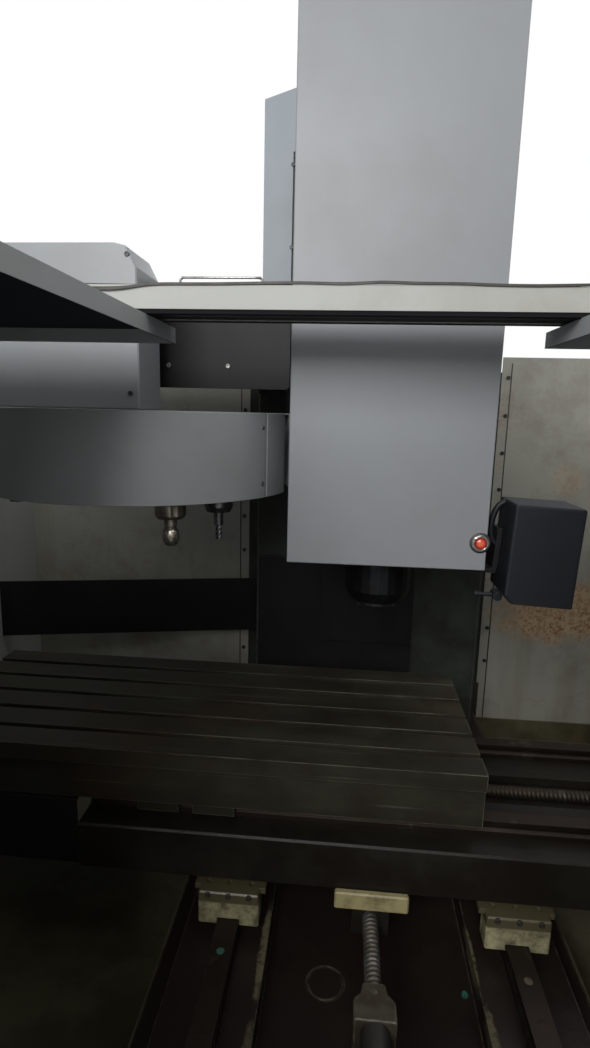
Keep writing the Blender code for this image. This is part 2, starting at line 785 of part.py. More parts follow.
# Ball screws with their motors and the cast front bearing bracket
def make_screws():
    def screw(name, place, axis, low, high, low_journal, high_journal):
        profile = [
            (0.0, high + high_journal),
            (JOURNAL_RADIUS, high + high_journal),
            (JOURNAL_RADIUS, high),
            (SCREW_RADIUS, high),
            (SCREW_RADIUS, low),
            (JOURNAL_RADIUS, low),
            (JOURNAL_RADIUS, low - low_journal),
            (0.0, low - low_journal),
        ]
        return finish(turned(name, profile, place, axis, steps=16), BRIGHT_STEEL)

    bracket_front = BRACKET_BACK + BRACKET_LENGTH
    rear = CHANNEL_BACK - REAR_BEARING_LENGTH
    y_screw = screw(
        "y_screw",
        (0, 0, Y_SCREW_Z),
        "y",
        -rear + GAP,
        BRACKET_BACK - GAP,
        REAR_BEARING_LENGTH - 0.001,
        BRACKET_LENGTH - 0.001,
    )
    carry(axis_at("y_screw_axis", (0, 0, Y_SCREW_Z)), y_screw)
    z_screw = screw(
        "z_screw",
        (0, Z_SCREW_Y, 0),
        "z",
        RECESS_Z + GAP,
        RECESS_TOP_Z - GAP,
        0.030,
        RECESS_TOP_WALL - 0.001,
    )
    carry(axis_at("z_screw_axis", (0, Z_SCREW_Y, RECESS_Z)), z_screw)
    run = SADDLE_LENGTH / 2 - SADDLE_END
    x_screw = screw(
        "x_screw",
        (SADDLE_X, SADDLE_Y, X_SCREW_Z),
        "x",
        -run + GAP,
        run - GAP,
        SADDLE_END - 0.001,
        SADDLE_END - 0.001,
    )
    carry(axis_at("x_screw_axis", (SADDLE_X, SADDLE_Y, X_SCREW_Z), SADDLE), x_screw)

    narrow = BRACKET_NECK_WIDTH / 2
    wide = BRACKET_WIDTH / 2
    shoulder = -BRACKET_BACK - BRACKET_LENGTH * 0.45
    right = [
        (wide, -bracket_front),
        (wide, shoulder),
        (narrow, shoulder + BRACKET_LENGTH * 0.18),
        (narrow * 0.85, -BRACKET_BACK),
    ]
    top = Y_SCREW_Z + BRACKET_TOP
    bracket = plate("y_screw_bracket", right + mirrored_x(right), CHANNEL_FLOOR + GAP, top, "z")
    bevel(bracket, 0.004, 2)
    arch = round_bar(
        "bracket_arch",
        (0, -bracket_front, CHANNEL_FLOOR + 0.040),
        wide * 0.68,
        BRACKET_LENGTH * 0.7,
        "y",
        20,
    )
    bore_place = (0, -BRACKET_BACK - BRACKET_LENGTH / 2, Y_SCREW_Z)
    bore = round_bar("bracket_bore", bore_place, JOURNAL_RADIUS + RUN, BRACKET_LENGTH + 0.020, "y", 16)
    oiler = round_bar("bracket_oil_hole", (0, shoulder + 0.014, top), 0.004, 0.012, "z", 10)
    cut(bracket, arch, bore, oiler)
    finish(bracket, ((0.45, 0.43, 0.35), 0.55, 0.3))

    near = -bracket_front - GAP
    coupling = round_bar(
        "y_motor_coupling",
        (0, near - COUPLING_LENGTH / 2, Y_SCREW_Z),
        COUPLING_RADIUS,
        COUPLING_LENGTH,
        "y",
    )
    motor_half = Y_MOTOR_WIDTH / 2
    face = near - COUPLING_LENGTH + 0.002
    motor = block(
        "y_motor",
        (-motor_half, motor_half),
        (face - Y_MOTOR_LENGTH, face),
        (Y_SCREW_Z - motor_half, Y_SCREW_Z + motor_half),
    )
    bevel(motor, 0.008)
    join(motor, coupling)
    finish(motor, MOTOR_BLACK)

    motor_half = Z_MOTOR_WIDTH / 2
    foot = COLUMN_TOP + GAP
    z_motor = block(
        "z_motor",
        (-motor_half, motor_half),
        (Z_SCREW_Y - motor_half, Z_SCREW_Y + motor_half),
        (foot, foot + Z_MOTOR_HEIGHT),
    )
    finish(bevel(z_motor, 0.008), MOTOR_BLACK)


# Saddle: the cross slide, with its running blocks, screw trough and nut housing
def make_saddle():
    half = SADDLE_LENGTH / 2
    body = block("saddle_casting", (-half, half), (SADDLE_FRONT, SADDLE_BACK), (SADDLE_BOTTOM, SADDLE_TOP))
    bevel(body, SADDLE_EDGE)
    trough_half = SADDLE_TROUGH_WIDTH / 2
    trough = block(
        "saddle_trough",
        (-half + SADDLE_END, half - SADDLE_END),
        (SADDLE_Y - trough_half, SADDLE_Y + trough_half),
        (SADDLE_TOP - SADDLE_TROUGH_DEPTH, SADDLE_TOP + 0.010),
    )
    x_bore = round_bar(
        "saddle_screw_bore",
        (SADDLE_X, SADDLE_Y, X_SCREW_Z),
        JOURNAL_RADIUS + RUN,
        SADDLE_LENGTH + 0.020,
        "x",
        16,
    )
    rail_top = BED_TOP + GAP + Y_RAIL_HEIGHT
    truck_half = Y_RAIL_WIDTH / 2 + TRUCK_WALL
    extras = []
    rear_start = SADDLE_BACK - Y_TRUCK_FRONT - Y_TRUCK_LENGTH
    for side in (-1, 1):
        middle = side * Y_RAIL_SPACING / 2
        for start in (TRUCK_REST_FRONT, rear_start):
            truck = block(
                "saddle_truck",
                (middle - truck_half, middle + truck_half),
                (start, start + Y_TRUCK_LENGTH),
                (rail_top - TRUCK_SKIRT, SADDLE_BOTTOM + 0.005),
            )
            extras.append(truck)
    nut_half = SCREW_RADIUS + NUT_WALL
    nut = block(
        "saddle_nut",
        (-nut_half, nut_half),
        (SADDLE_FRONT, SADDLE_Y),
        (Y_SCREW_Z - nut_half, SADDLE_BOTTOM + 0.005),
    )
    join(body, nut, *extras)
    cut(body, trough, x_bore)
    for side in (-1, 1):
        middle = side * Y_RAIL_SPACING / 2
        section = rail_section(Y_RAIL_WIDTH, Y_RAIL_HEIGHT, RUN)
        path = [(middle + u, BED_TOP + GAP + v) for u, v in section]
        cut(body, plate("saddle_rail_way", path, SADDLE_FRONT - 0.010, SADDLE_BACK + 0.010, "y"))
    nut_bore_place = (0, (SADDLE_FRONT + SADDLE_Y) / 2, Y_SCREW_Z)
    nut_bore = SCREW_RADIUS + RUN
    cut(body, round_bar("saddle_nut_bore", nut_bore_place, nut_bore, TABLE_WIDTH / 2 + 0.020, "y", 16))
    finish(body, CASTING_PAINT)

    face = TRUCK_REST_FRONT - GAP
    for side, name in ((-1, "wiper_left"), (1, "wiper_right")):
        middle = side * Y_RAIL_SPACING / 2
        top = SADDLE_BOTTOM - WIPER_DROP
        low = rail_top - TRUCK_SKIRT * 0.6
        wiper = block(
            name,
            (middle - WIPER_WIDTH / 2, middle + WIPER_WIDTH / 2),
            (face - WIPER_LENGTH, face),
            (low, top),
        )
        bevel(wiper, 0.003)
        flange = block(
            "wiper_flange",
            (middle - WIPER_FLANGE_WIDTH / 2, middle + WIPER_FLANGE_WIDTH / 2),
            (face - WIPER_LENGTH * 0.55, face),
            (top - WIPER_FLANGE, top),
        )
        join(wiper, flange)
        section = rail_section(Y_RAIL_WIDTH, Y_RAIL_HEIGHT, RUN * 2)
        path = [(middle + u, BED_TOP + GAP + v) for u, v in section]
        cut(wiper, plate("wiper_rail_way", path, face - WIPER_LENGTH - 0.010, face + 0.010, "y"))
        for offset in (-1, 0, 1):
            spot = (middle + offset * WIPER_WIDTH * 0.36, face - WIPER_LENGTH * 0.33, top)
            cut(wiper, round_bar("wiper_hole", spot, 0.0065, 0.016, "z", 12))
        finish(wiper, CREAM_PLASTIC)
        carry(SADDLE, wiper)
    centre = SADDLE_BOTTOM - BUMPER_HEIGHT * 0.32
    bumper = block(
        "nut_bumper",
        (-BUMPER_WIDTH / 2, BUMPER_WIDTH / 2),
        (SADDLE_FRONT - GAP - BUMPER_THICKNESS, SADDLE_FRONT - GAP),
        (centre - BUMPER_HEIGHT / 2, centre + BUMPER_HEIGHT / 2),
    )
    finish(bevel(bumper, 0.003), CREAM_PLASTIC)

    for side, name in ((-1, "x_rail_front"), (1, "x_rail_rear")):
        middle = SADDLE_Y + side * X_RAIL_SPACING / 2
        section = [(middle + u, SADDLE_TOP + GAP + v) for u, v in rail_section(X_RAIL_WIDTH, X_RAIL_HEIGHT)]
        rail = plate(name, section, -half + 0.005, half - 0.005, "x")
        finish(rail, OILED_STEEL)
        carry(SADDLE, rail)

    top = TABLE_BOTTOM - X_COVER_CLEARANCE
    inset = SADDLE_EDGE + 0.002
    for side, name in ((-1, "x_cover_left"), (1, "x_cover_right")):
        near = side * (half + GAP)
        far = side * (half + GAP + X_COVER_LENGTH)
        cover = block(
            name,
            sorted((near, far)),
            (SADDLE_FRONT + inset, SADDLE_BACK - inset),
            (SADDLE_BOTTOM + inset, top),
        )
        room = block(
            "x_cover_room",
            sorted((near - side * 0.010, far - side * SKIN)),
            (SADDLE_FRONT + inset + SKIN, SADDLE_BACK - inset - SKIN),
            (SADDLE_BOTTOM - 0.010, top - SKIN),
        )
        cut(cover, room)
        finish(cover, BLACK_SHEET)
        carry(SADDLE, cover)
    motor_half = X_MOTOR_WIDTH / 2
    face = -half - GAP
    motor = block(
        "x_motor",
        (face - X_MOTOR_LENGTH, face),
        (SADDLE_Y - motor_half, SADDLE_Y + motor_half),
        (X_SCREW_Z - motor_half, X_SCREW_Z + motor_half),
    )
    finish(bevel(motor, 0.006), MOTOR_BLACK)
    carry(SADDLE, body, bumper, motor)


# Table: one T-slotted casting on four running blocks
def make_table():
    middle_x, middle_y = TABLE_PLACE
    half = TABLE_WIDTH / 2
    neck = SLOT_WIDTH / 2
    foot = SLOT_FOOT_WIDTH / 2
    neck_z = TABLE_TOP - SLOT_NECK
    foot_z = neck_z - SLOT_FOOT
    lip_z = TABLE_TOP - TABLE_LIP
    section = [
        (middle_y - half, TABLE_TOP),
        (middle_y - half, lip_z),
        (middle_y - half + TABLE_LIP_STEP, lip_z - TABLE_LIP_STEP / 2),
        (middle_y - half + TABLE_LIP_STEP, TABLE_BOTTOM),
        (middle_y + half - TABLE_LIP_STEP, TABLE_BOTTOM),
        (middle_y + half - TABLE_LIP_STEP, lip_z - TABLE_LIP_STEP / 2),
        (middle_y + half, lip_z),
        (middle_y + half, TABLE_TOP),
    ]
    left = middle_x - TABLE_LENGTH / 2
    right = left + TABLE_LENGTH
    table = plate("table", section, left, right, "x")
    for index in range(SLOT_COUNT):
        slot = middle_y + (index - (SLOT_COUNT - 1) / 2) * SLOT_PITCH
        tee = [
            (slot + neck, TABLE_TOP + 0.010),
            (slot + neck, neck_z),
            (slot + foot, neck_z),
            (slot + foot, foot_z),
            (slot - foot, foot_z),
            (slot - foot, neck_z),
            (slot - neck, neck_z),
            (slot - neck, TABLE_TOP + 0.010),
        ]
        cut(table, plate("table_slot", tee, left - 0.010, right + 0.010, "x"))
    rail_top = SADDLE_TOP + GAP + X_RAIL_HEIGHT
    truck_half = X_RAIL_WIDTH / 2 + TRUCK_WALL * 0.7
    skirt = TRUCK_SKIRT * 0.75
    for side in (-1, 1):
        rail_y = middle_y + side * X_RAIL_SPACING / 2
        for place in (-1, 1):
            centre = middle_x + place * X_TRUCK_OFFSET
            truck = block(
                "table_truck",
                (centre - X_TRUCK_LENGTH / 2, centre + X_TRUCK_LENGTH / 2),
                (rail_y - truck_half, rail_y + truck_half),
                (rail_top - skirt, TABLE_BOTTOM + 0.005),
            )
            join(table, truck)
    nut_half = SCREW_RADIUS + NUT_WALL * 0.6
    nut = block(
        "table_nut",
        (middle_x - 0.045, middle_x + 0.045),
        (middle_y - nut_half, middle_y + nut_half),
        (X_SCREW_Z - nut_half * 0.9, TABLE_BOTTOM + 0.005),
    )
    join(table, nut)
    reach = X_TRUCK_OFFSET + X_TRUCK_LENGTH / 2 + 0.010
    for side in (-1, 1):
        rail_y = middle_y + side * X_RAIL_SPACING / 2
        section = rail_section(X_RAIL_WIDTH, X_RAIL_HEIGHT, RUN)
        path = [(rail_y + u, SADDLE_TOP + GAP + v) for u, v in section]
        cut(table, plate("table_rail_way", path, middle_x - reach, middle_x + reach, "x"))
    bore_place = (middle_x, middle_y, X_SCREW_Z)
    cut(table, round_bar("table_nut_bore", bore_place, SCREW_RADIUS + RUN, 0.120, "x", 16))
    finish(table, MACHINED_IRON)
    carry(axis_at("table_axis", (middle_x, middle_y, TABLE_BOTTOM), SADDLE), table)


# Head: casting, sheet cover, spindle and motor
def make_head():
    half = HEAD_WIDTH / 2
    plate_front = HEAD_BACK - HEAD_PLATE
    side_view = [
        (-HEAD_FRONT, HEAD_Z),
        (plate_front + 0.010, HEAD_Z),
        (plate_front + 0.010, ARM_TOP_Z),
        (-HEAD_FRONT, ARM_TOP_Z),
    ]
    body = plate("head_casting", side_view, -half, half, "x")
    bevel(body, 0.008)
    carriage_z = HEAD_Z + CARRIAGE_LIFT
    carriage = block(
        "head_carriage",
        (-CARRIAGE_WIDTH / 2, CARRIAGE_WIDTH / 2),
        (plate_front, HEAD_BACK),
        (carriage_z, carriage_z + CARRIAGE_HEIGHT),
    )
    join(body, carriage)
    truck_half = Z_RAIL_WIDTH / 2 + TRUCK_WALL * 0.95
    truck_back = COLUMN_FACE - GAP - Z_RAIL_HEIGHT + TRUCK_SKIRT
    for side in (-1, 1):
        middle = side * Z_RAIL_SPACING / 2
        for start in (carriage_z + 0.020, carriage_z + CARRIAGE_HEIGHT - 0.020 - Z_TRUCK_LENGTH):
            truck = block(
                "head_truck",
                (middle - truck_half, middle + truck_half),
                (HEAD_BACK - 0.005, truck_back),
                (start, start + Z_TRUCK_LENGTH),
            )
            join(body, truck)
    nut_z = HEAD_Z + Z_NUT_LIFT
    nut = block(
        "head_nut",
        (-Z_NUT_WIDTH / 2, Z_NUT_WIDTH / 2),
        (HEAD_BACK - 0.005, Z_SCREW_Y + SCREW_RADIUS + NUT_WALL),
        (nut_z, nut_z + Z_NUT_HEIGHT),
    )
    join(body, nut)
    inner = COVER_HALF_WIDTH - SKIN - GAP
    for level in (0.080, HEAD_ARM_HEIGHT - 0.080):
        bar = block(
            "head_cover_bar",
            (-inner, inner),
            (COVER_BACK - 0.100, COVER_BACK - 0.100 + COVER_BAR),
            (HEAD_Z + level - COVER_BAR / 2, HEAD_Z + level + COVER_BAR / 2),
        )
        join(body, bar)
    for side in (-1, 1):
        middle = side * Z_RAIL_SPACING / 2
        section = rail_section(Z_RAIL_WIDTH, Z_RAIL_HEIGHT, RUN)
        path = [(middle + u, COLUMN_FACE - GAP - v) for u, v in section]
        low = carriage_z - 0.010
        cut(body, plate("head_rail_way", path, low, low + CARRIAGE_HEIGHT + 0.020, "z"))
    z_bore_place = (0, Z_SCREW_Y, nut_z + Z_NUT_HEIGHT / 2)
    cut(body, round_bar("head_nut_bore", z_bore_place, SCREW_RADIUS + RUN, Z_NUT_HEIGHT + 0.020, "z", 16))
    bore_place = (0, 0, HEAD_Z + HEAD_ARM_HEIGHT / 2)
    cut(body, round_bar("head_spindle_bore", bore_place, SPINDLE_BORE, HEAD_ARM_HEIGHT + 0.020, "z", 28))
    finish(body, CASTING_PAINT)

    outside = COVER_HALF_WIDTH
    top = HEAD_Z + COVER_HEIGHT
    cover = block("head_cover", (-outside, outside), (-COVER_FRONT, COVER_BACK), (HEAD_Z, top))
    bevel(cover, 0.0015)
    room = block(
        "head_cover_room",
        (-outside + SKIN, outside - SKIN),
        (-COVER_FRONT + SKIN, COVER_BACK + 0.010),
        (HEAD_Z - 0.010, top - SKIN),
    )
    button_x, button_up = BUTTON_PLACE
    button_place = (button_x, -COVER_FRONT, HEAD_Z + button_up)
    hole = round_bar("head_cover_hole", button_place, BUTTON_RADIUS + RUN, 0.030, "y", 20)
    cut(cover, room, hole)
    finish(cover, COVER_PAINT)

    apron_top = carriage_z + 0.030
    apron_back = HEAD_BACK + APRON_OFFSET + APRON_THICKNESS
    seat = HEAD_BACK + GAP
    bend = [
        (apron_back, HEAD_Z - APRON_DROP),
        (apron_back, apron_top),
        (seat, apron_top),
        (seat, carriage_z),
        (seat + APRON_THICKNESS, carriage_z),
        (seat + APRON_THICKNESS, apron_top - APRON_THICKNESS),
        (apron_back - APRON_THICKNESS, apron_top - APRON_THICKNESS),
        (apron_back - APRON_THICKNESS, HEAD_Z - APRON_DROP),
    ]
    apron = plate("z_apron", bend, -APRON_WIDTH / 2, APRON_WIDTH / 2, "x")
    finish(apron, BLACK_SHEET)

    nose_z = HEAD_Z - HOUSING_DROP
    sleeve = SPINDLE_BORE - RUN
    bore = SPINDLE_RADIUS + RUN
    housing_profile = [
        (sleeve, HEAD_Z + CARTRIDGE_LENGTH),
        (sleeve, HEAD_Z - GAP),
        (HOUSING_RADIUS, HEAD_Z - GAP),
        (HOUSING_RADIUS, HEAD_Z - HOUSING_DROP * 0.80),
        (HOUSING_RADIUS * 0.85, nose_z),
        (bore, nose_z),
        (bore, HEAD_Z + CARTRIDGE_LENGTH),
    ]
    housing = turned("spindle_housing", housing_profile, (0, 0, 0), closed=True)
    finish(housing, MACHINED_IRON)

    motor_z = ARM_TOP_Z + GAP
    motor = turned(
        "spindle_motor",
        [
            (0.0, motor_z + MOTOR_HEIGHT),
            (MOTOR_RADIUS * 0.7, motor_z + MOTOR_HEIGHT),
            (MOTOR_RADIUS * 0.7, motor_z + MOTOR_HEIGHT * 0.88),
            (MOTOR_RADIUS, motor_z + MOTOR_HEIGHT * 0.85),
            (MOTOR_RADIUS, motor_z),
            (0.0, motor_z),
        ],
        (0, 0, 0),
    )
    finish(motor, MOTOR_BLACK)

    tip = nose_z - GAP
    spindle_profile = [
        (0.0, ARM_TOP_Z - 0.005),
        (SPINDLE_RADIUS * 0.45, ARM_TOP_Z - 0.005),
        (SPINDLE_RADIUS * 0.45, HEAD_Z + CARTRIDGE_LENGTH),
        (SPINDLE_RADIUS, HEAD_Z + CARTRIDGE_LENGTH),
        (SPINDLE_RADIUS, tip),
        (SPINDLE_NOSE_RADIUS, tip),
        (SPINDLE_NOSE_RADIUS, tip - SPINDLE_NOSE * 0.7),
        (SPINDLE_NOSE_RADIUS * 0.92, tip - SPINDLE_NOSE),
        (TAPER_MOUTH, tip - SPINDLE_NOSE),
        (TAPER_ROOT, tip - SPINDLE_NOSE + TAPER_DEPTH),
        (0.0, tip - SPINDLE_NOSE + TAPER_DEPTH),
    ]
    spindle = turned("spindle", spindle_profile, (0, 0, 0))
    for side in (-1, 1):
        reach = sorted((side * (TAPER_MOUTH + 0.004), side * (SPINDLE_NOSE_RADIUS - 0.006)))
        key = block("spindle_key", reach, (-0.008, 0.008), (tip - SPINDLE_NOSE - 0.006, tip - 0.006))
        join(spindle, key)
    finish(spindle, BRIGHT_STEEL)
    carry(axis_at("spindle_axis", (0, 0, tip - SPINDLE_NOSE), HEAD), spindle)

    front = -COVER_FRONT - GAP
    ring = [
        (BEZEL_RADIUS - 0.003, BEZEL_DEPTH),
        (BEZEL_RADIUS, BEZEL_DEPTH - 0.003),
        (BEZEL_RADIUS, 0.0),
        (BUTTON_RADIUS + RUN, 0.0),
        (BUTTON_RADIUS + RUN, BEZEL_DEPTH),
    ]
    bezel = turned("button_bezel", ring, (button_x, front, button_place[2]), "y", 20, True)
    finish(bezel, BRIGHT_STEEL)
    face = BEZEL_DEPTH + 0.004
    plunger = [
        (0.0, face + 0.001),
        (BUTTON_RADIUS - 0.003, face + 0.001),
        (BUTTON_RADIUS, face - 0.001),
        (BUTTON_RADIUS, face - BUTTON_LENGTH),
        (0.0, face - BUTTON_LENGTH),
    ]
    button = turned("release_button", plunger, (button_x, front, button_place[2]), "y", 20)
    finish(button, SIGNAL_RED)
    carry(axis_at("release_button_axis", (button_x, front, button_place[2]), HEAD), button)
    carry(HEAD, body, cover, apron, housing, motor, bezel)


# Coolant nozzle: a moulded box on a black bracket, with its small turning nozzle
def make_coolant_nozzle():
    low = HEAD_Z - BOX_BOTTOM
    left = BOX_LEFT
    right = left + BOX_WIDTH
    high = low + BOX_HEIGHT
    centre = ((left + right) / 2, (low + high) / 2)
    tilt = math.radians(-BOX_TILT)

    def tilted(points):
        turned_points = []
        for x, z in points:
            u = x - centre[0]
            v = z - centre[1]
            across = centre[0] + u * math.cos(tilt) - v * math.sin(tilt)
            up = centre[1] + u * math.sin(tilt) + v * math.cos(tilt)
            turned_points.append((across, up))
        return turned_points

    corner = BOX_CHAMFER
    outline = [(left + corner, low), (right, low), (right, high), (left, high), (left, low + corner)]
    back = -BOX_FRONT + BOX_DEPTH
    box = plate("coolant_box", tilted(outline), -BOX_FRONT, back, "y")
    finish(bevel(box, 0.004, 2), BOX_BLACK)

    side_low, side_high = tilted([(left, low + corner), (left, high)])
    reach = HEAD_WIDTH / 2 - 0.050
    seat = HEAD_Z - GAP
    flange_low = side_low[1] + BOX_FLANGE_LOW
    flange_high = side_low[1] + BOX_FLANGE_HIGH

    def beside_box(z, offset):
        share = (z - side_low[1]) / (side_high[1] - side_low[1])
        return side_low[0] + share * (side_high[0] - side_low[0]) - offset

    bracket_outline = [
        (reach, seat),
        (reach, seat - BRACKET_PLATE),
        (beside_box(flange_low, GAP) - 0.004, seat - BRACKET_PLATE - 0.004),
        (beside_box(flange_low, GAP), flange_low),
        (beside_box(flange_high, GAP), flange_high),
        (beside_box(flange_high, GAP + 0.008), flange_high),
        (beside_box(flange_low + 0.030, GAP + 0.012), seat),
    ]
    bracket_y = -BOX_FRONT + BOX_DEPTH * 0.62
    arm = plate("coolant_bracket", bracket_outline, bracket_y, -HEAD_FRONT + 0.060, "y")
    finish(arm, BLACK_SHEET)

    (ax, az), (bx, bz) = tilted([(left + corner, low), (left, low + corner)])
    run = math.hypot(bx - ax, bz - az)
    normal = ((az - bz) / run, (bx - ax) / run)
    if normal[0] > 0:
        normal = (-normal[0], -normal[1])
    stand_off = NOZZLE_HUB_RADIUS + GAP
    hub_x = (ax + bx) / 2 + normal[0] * stand_off
    hub_z = (az + bz) / 2 + normal[1] * stand_off
    hub_y = -BOX_FRONT + BOX_DEPTH / 2
    hub = round_bar("coolant_nozzle", (hub_x, hub_y, hub_z), NOZZLE_HUB_RADIUS, NOZZLE_HUB_LENGTH, "y", 20)
    pipe_place = (hub_x - NOZZLE_LENGTH / 2, hub_y, hub_z)
    pipe = round_bar("nozzle_pipe", pipe_place, NOZZLE_RADIUS, NOZZLE_LENGTH, "x", 12)
    tip_place = (hub_x - NOZZLE_LENGTH, hub_y, hub_z)
    tip = round_bar("nozzle_tip", tip_place, NOZZLE_RADIUS * 1.5, 0.008, "x", 12)
    join(hub, pipe, tip)
    finish(hub, DARK_PLASTIC)
    carry(axis_at("nozzle_axis", (hub_x, hub_y, hub_z), HEAD), hub)
    carry(HEAD, box, arm)


# Tool changer: a slide on the column, the drive box, the drum cover, the disc and three tools
def make_tool_changer():
    middle_x, middle_y = CAROUSEL_PLACE
    plate_low = TABLE_TOP + TC_PLATE_BOTTOM
    plate_high = plate_low + TC_PLATE_HEIGHT
    corner = 0.012
    face_outline = [
        (-TC_PLATE_LEFT, plate_low),
        *arc((-TC_PLATE_RIGHT - corner, plate_low + corner), corner, -90, 0, 4),
        (-TC_PLATE_RIGHT, plate_high),
        (-TC_PLATE_LEFT, plate_high),
    ]
    bracket = plate("tc_bracket", face_outline, BRACKET_FACE, BRACKET_FACE + TC_PLATE, "y")
    column_left = -COLUMN_WIDTH / 2
    arm_right = column_left + TC_ARM_WIDTH
    behind = COLUMN_FACE - GAP
    arm_back = BRACKET_FACE + TC_PLATE - 0.002
    for x in (column_left + 0.006, arm_right - TC_PLATE):
        arm = block("tc_arm", (x, x + TC_PLATE), (arm_back, behind), (plate_low + 0.010, plate_low + TC_ARM_HEIGHT))
        join(bracket, arm)
    foot = block(
        "tc_arm_foot",
        (column_left + 0.001, arm_right),
        (behind - TC_PLATE, behind),
        (plate_low, plate_low + TC_ARM_HEIGHT + 0.008),
    )
    rail_high = plate_high - TC_RAIL_DROP
    rail_right = middle_x - 0.030
    rail = block(
        "tc_rail",
        (-TC_PLATE_LEFT + 0.020, rail_right),
        (BRACKET_FACE - TC_RAIL_DEPTH, BRACKET_FACE + 0.002),
        (rail_high - TC_RAIL, rail_high),
    )
    join(bracket, foot, rail)
    finish(bracket, BLACK_SHEET)

    box_right = middle_x + DRIVE_BOX_RIGHT
    box_left = box_right - DRIVE_BOX_WIDTH
    box_low = DRUM_TOP + GAP
    box_high = box_low + DRIVE_BOX_HEIGHT
    cut_corner = DRIVE_BOX_CHAMFER
    box_outline = [
        (box_left, box_low),
        (box_right, box_low),
        (box_right, box_high - cut_corner),
        (box_right - cut_corner * 0.45, box_high - cut_corner * 0.12),
        (box_right - cut_corner, box_high),
        (box_left, box_high),
    ]
    box_back = middle_y - DRIVE_BOX_FRONT + DRIVE_BOX_DEPTH
    box = plate("tc_box", box_outline, middle_y - DRIVE_BOX_FRONT, box_back, "y")
    bevel(box, 0.003)
    runner_right = rail_right - 0.060
    wall = 0.022
    runner = block(
        "tc_runner",
        (runner_right - TC_RUNNER_LENGTH, runner_right),
        (box_back - 0.005, BRACKET_FACE - RUN),
        (rail_high - TC_RAIL - wall, rail_high + wall),
    )
    groove = block(
        "tc_runner_groove",
        (runner_right - TC_RUNNER_LENGTH - 0.010, runner_right + 0.010),
        (BRACKET_FACE - TC_RAIL_DEPTH - RUN, BRACKET_FACE + 0.010),
        (rail_high - TC_RAIL - RUN, rail_high + RUN),
    )
    join(box, runner)
    cut(box, groove)
    finish(box, COVER_PAINT)

    inner = DRUM_RADIUS - DRUM_WALL
    drum_profile = [
        (0.0, DRUM_TOP),
        (DRUM_RADIUS - 0.002, DRUM_TOP),
        (DRUM_RADIUS, DRUM_TOP - 0.002),
        (DRUM_RADIUS, DRUM_Z),
        (inner, DRUM_Z),
        (inner, DRUM_TOP - DRUM_WALL),
        (BEARING_RADIUS, DRUM_TOP - DRUM_WALL),
        (BEARING_RADIUS, DRUM_TOP - BEARING_HEIGHT),
        (0.0, DRUM_TOP - BEARING_HEIGHT),
    ]
    drum = turned("tc_cover", drum_profile, (middle_x, middle_y, 0), steps=64)
    bore_place = (middle_x, middle_y, DRUM_TOP - BEARING_HEIGHT)
    shaft_bore = DISC_HUB_RADIUS + RUN
    cut(drum, round_bar("tc_shaft_bore", bore_place, shaft_bore, 2 * BEARING_HEIGHT - 0.024, "z", 20))
    slot_half = DRUM_SLOT / 2
    pocket_x = middle_x + POCKET_RADIUS
    far = middle_x + DRUM_RADIUS + 0.020
    slot_outline = [
        (far, middle_y - slot_half),
        (far, middle_y + slot_half),
        *arc((pocket_x, middle_y), slot_half, 90, 270, 10),
    ]
    cut(drum, plate("tc_slot", slot_outline, DRUM_Z - 0.010, DRUM_TOP + 0.010, "z"))
    seam = math.radians(-PANEL_SEAM)
    seam_half = PANEL_SEAM_WIDTH / 2
    along = (math.cos(seam), math.sin(seam))
    across = (-along[1], along[0])
    near = DRUM_RADIUS - DRUM_WALL * 0.6
    seam_outline = []
    for reach, side in ((near, -1), (DRUM_RADIUS + 0.010, -1), (DRUM_RADIUS + 0.010, 1), (near, 1)):
        x = middle_x + reach * along[0] + side * seam_half * across[0]
        y = middle_y + reach * along[1] + side * seam_half * across[1]
        seam_outline.append((x, y))
    cut(drum, plate("tc_seam", seam_outline, DRUM_Z - 0.010, DRUM_TOP + 0.010, "z"))
    finish(drum, COVER_PAINT)

    # The disc is a rim with a fork at each pocket, which holds a tool by its groove
    fork = (GROOVE_RADIUS + GAP) / math.cos(math.pi / 12)
    mouth = math.degrees(math.asin(fork / DISC_RADIUS))
    rim = []
    for index in range(POCKET_COUNT):
        pocket = POCKET_START + index * 360 / POCKET_COUNT
        turn = math.radians(pocket)
        centre = (POCKET_RADIUS * math.cos(turn), POCKET_RADIUS * math.sin(turn))
        rim += arc(centre, fork, pocket + 270, pocket + 90, 6)
        lip = 360 / POCKET_COUNT
        rim += arc((0, 0), DISC_RADIUS, pocket + mouth, pocket + lip - mouth, 2)
    rim = [(middle_x + x, middle_y + y) for x, y in rim]
    disc = plate("carousel_disc", rim, DISC_Z, DISC_Z + DISC_THICKNESS, "z")
    shaft_top = DRUM_TOP - 0.014
    hub_profile = [
        (0.0, shaft_top),
        (DISC_HUB_RADIUS, shaft_top),
        (DISC_HUB_RADIUS, DRUM_TOP - BEARING_HEIGHT - GAP),
        (BEARING_RADIUS, DRUM_TOP - BEARING_HEIGHT - GAP),
        (BEARING_RADIUS, DISC_Z + DISC_THICKNESS + 0.004),
        (BEARING_RADIUS * 1.6, DISC_Z + 0.002),
        (0.0, DISC_Z + 0.002),
    ]
    join(disc, turned("carousel_hub", hub_profile, (middle_x, middle_y, 0)))
    finish(disc, OILED_STEEL)

    groove_low = DISC_Z - GAP
    groove_high = DISC_Z + DISC_THICKNESS + GAP

